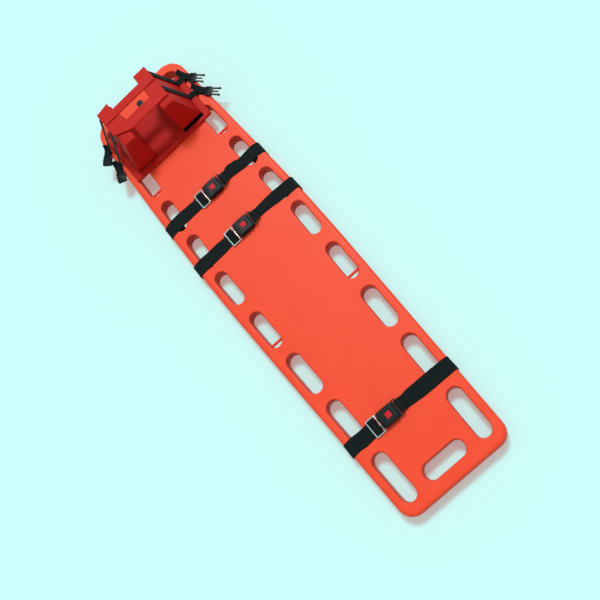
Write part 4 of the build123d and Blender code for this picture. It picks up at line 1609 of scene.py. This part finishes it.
def make_finishes() -> Finishes:
    """Makes every material once."""
    return Finishes(
        board=MouldedPolyethylene().make(),
        webbing=NylonWebbing().make(),
        # Bonded thread has a hard dull coat, a shade paler than the webbing that it sews.
        thread=MouldedPlastic("bonded_nylon_thread", "#2C3638", "#20282A", 0.7).make(),
        # Acetal is slippery and dense: deep black, with a soft shine that is a little sharper on the clips.
        black=MouldedPlastic("black_acetal", "#0C1011", "#060809", 0.40).make(),
        clip=MouldedPlastic("black_clip_acetal", "#090C0D", "#040506", 0.36).make(),
        # The buttons are coloured through, and look fuller and less waxy than the board.
        red=MouldedPlastic("red_button_plastic", "#C81E2A", "#BC1A24", 0.35).make(),
        # Chrome over polished steel mirrors its surroundings. Rolled spring steel is greyer and duller.
        chrome=PlatedSteel("chromed_steel", "#B4B4B2", 0.24).make(),
        rolled=PlatedSteel("spring_steel", "#A0A2A4", 0.34).make(),
        # The same skin over the thick foam and over the thin pads; the pads' copy is a lit copy, painted a
        # shade lighter for the light that they catch.
        foam=CoatedFoam("dipped_foam", "#C01A12", "#B0140D").make(),
        pad=CoatedFoam("dipped_pad", "#C8241B", "#BC1C15").make(),
        hooks=HookAndLoop().make(),
        # Poured foam is cream-coloured and dull, with coarse cells.
        core=MouldedPlastic("urethane_foam", "#E8DCB8", "#DCCFA6", 0.85, 2.0, 0.5).make(),
    )


def strap_set(board: Board) -> list[BodyStrap]:
    """The three body straps, with the keys of their right and left halves."""
    keys = {
        "chest": (
            (
                (0.049, 0.001, 0.042, 0.0), (0.068, 0.005, 0.042, 0.003), (0.092, 0.008, 0.051, 0.0008),
                (0.112, 0.005, 0.050, 0.0006), (0.134, -0.001, 0.045, 0.002), (0.165, -0.002, 0.048, 0.0006),
                (0.195, 0.001, 0.048, 0.0), (0.228, -0.005, 0.048, 0.0),
            ),
            (
                (0.066, 0.0, 0.0562, 0.0), (0.080, -0.001, 0.047, 0.001), (0.112, 0.0, 0.048, 0.0008),
                (0.150, 0.001, 0.052, 0.0004), (0.185, 0.0, 0.052, 0.0), (0.228, -0.006, 0.048, 0.0),
            ),
        ),
        "waist": (
            (
                (0.046, 0.001, 0.042, 0.0), (0.064, 0.004, 0.038, 0.004), (0.088, 0.005, 0.040, 0.003),
                (0.118, 0.004, 0.044, 0.002), (0.148, 0.002, 0.049, 0.0006), (0.190, -0.002, 0.051, 0.0),
                (0.234, -0.004, 0.050, 0.0),
            ),
            (
                (0.068, 0.0, 0.0562, 0.0), (0.082, -0.001, 0.046, 0.001), (0.116, -0.001, 0.050, 0.0006),
                (0.156, -0.002, 0.050, 0.0), (0.194, -0.001, 0.051, 0.0), (0.234, -0.005, 0.048, 0.0),
            ),
        ),
        "leg": (
            (
                (0.006, 0.001, 0.044, 0.0), (0.024, 0.0, 0.045, 0.003), (0.050, 0.0, 0.051, 0.001),
                (0.090, -0.002, 0.054, 0.0004), (0.135, -0.003, 0.054, 0.0), (0.180, -0.004, 0.053, 0.0),
                (0.214, -0.005, 0.051, 0.0),
            ),
            (
                (0.108, 0.0, 0.0562, 0.0), (0.120, -0.001, 0.052, 0.0006), (0.150, -0.002, 0.052, 0.0),
                (0.180, 0.0, 0.052, 0.0), (0.214, -0.002, 0.051, 0.0),
            ),
        ),
    }
    holds = {"chest": 1, "waist": 2, "leg": 6}
    return [BodyStrap(name, board, holds[name], *halves) for name, halves in keys.items()]


def main() -> None:
    """Builds and dresses every piece."""
    logging.basicConfig(level=logging.INFO, format="%(message)s")
    Studio().build()
    finishes = make_finishes()
    board = Board()
    place(board.build_shell(), "board", finishes.board, ["board_body"])
    dress_node("foam_core", finishes.core)
    dress_node("clip_pins", finishes.board)
    plug = rounded_copy("vent_plug", "vent_plug_moulded", 0.0006)
    place(plug, "board", finishes.black, ["vent_plug"])
    sewing = sewing_tree(finishes.thread)
    for strap in strap_set(board):
        strap.build(finishes, sewing)
    HeadImmobiliser().build(finishes)


if __name__ == "__main__":
    main()
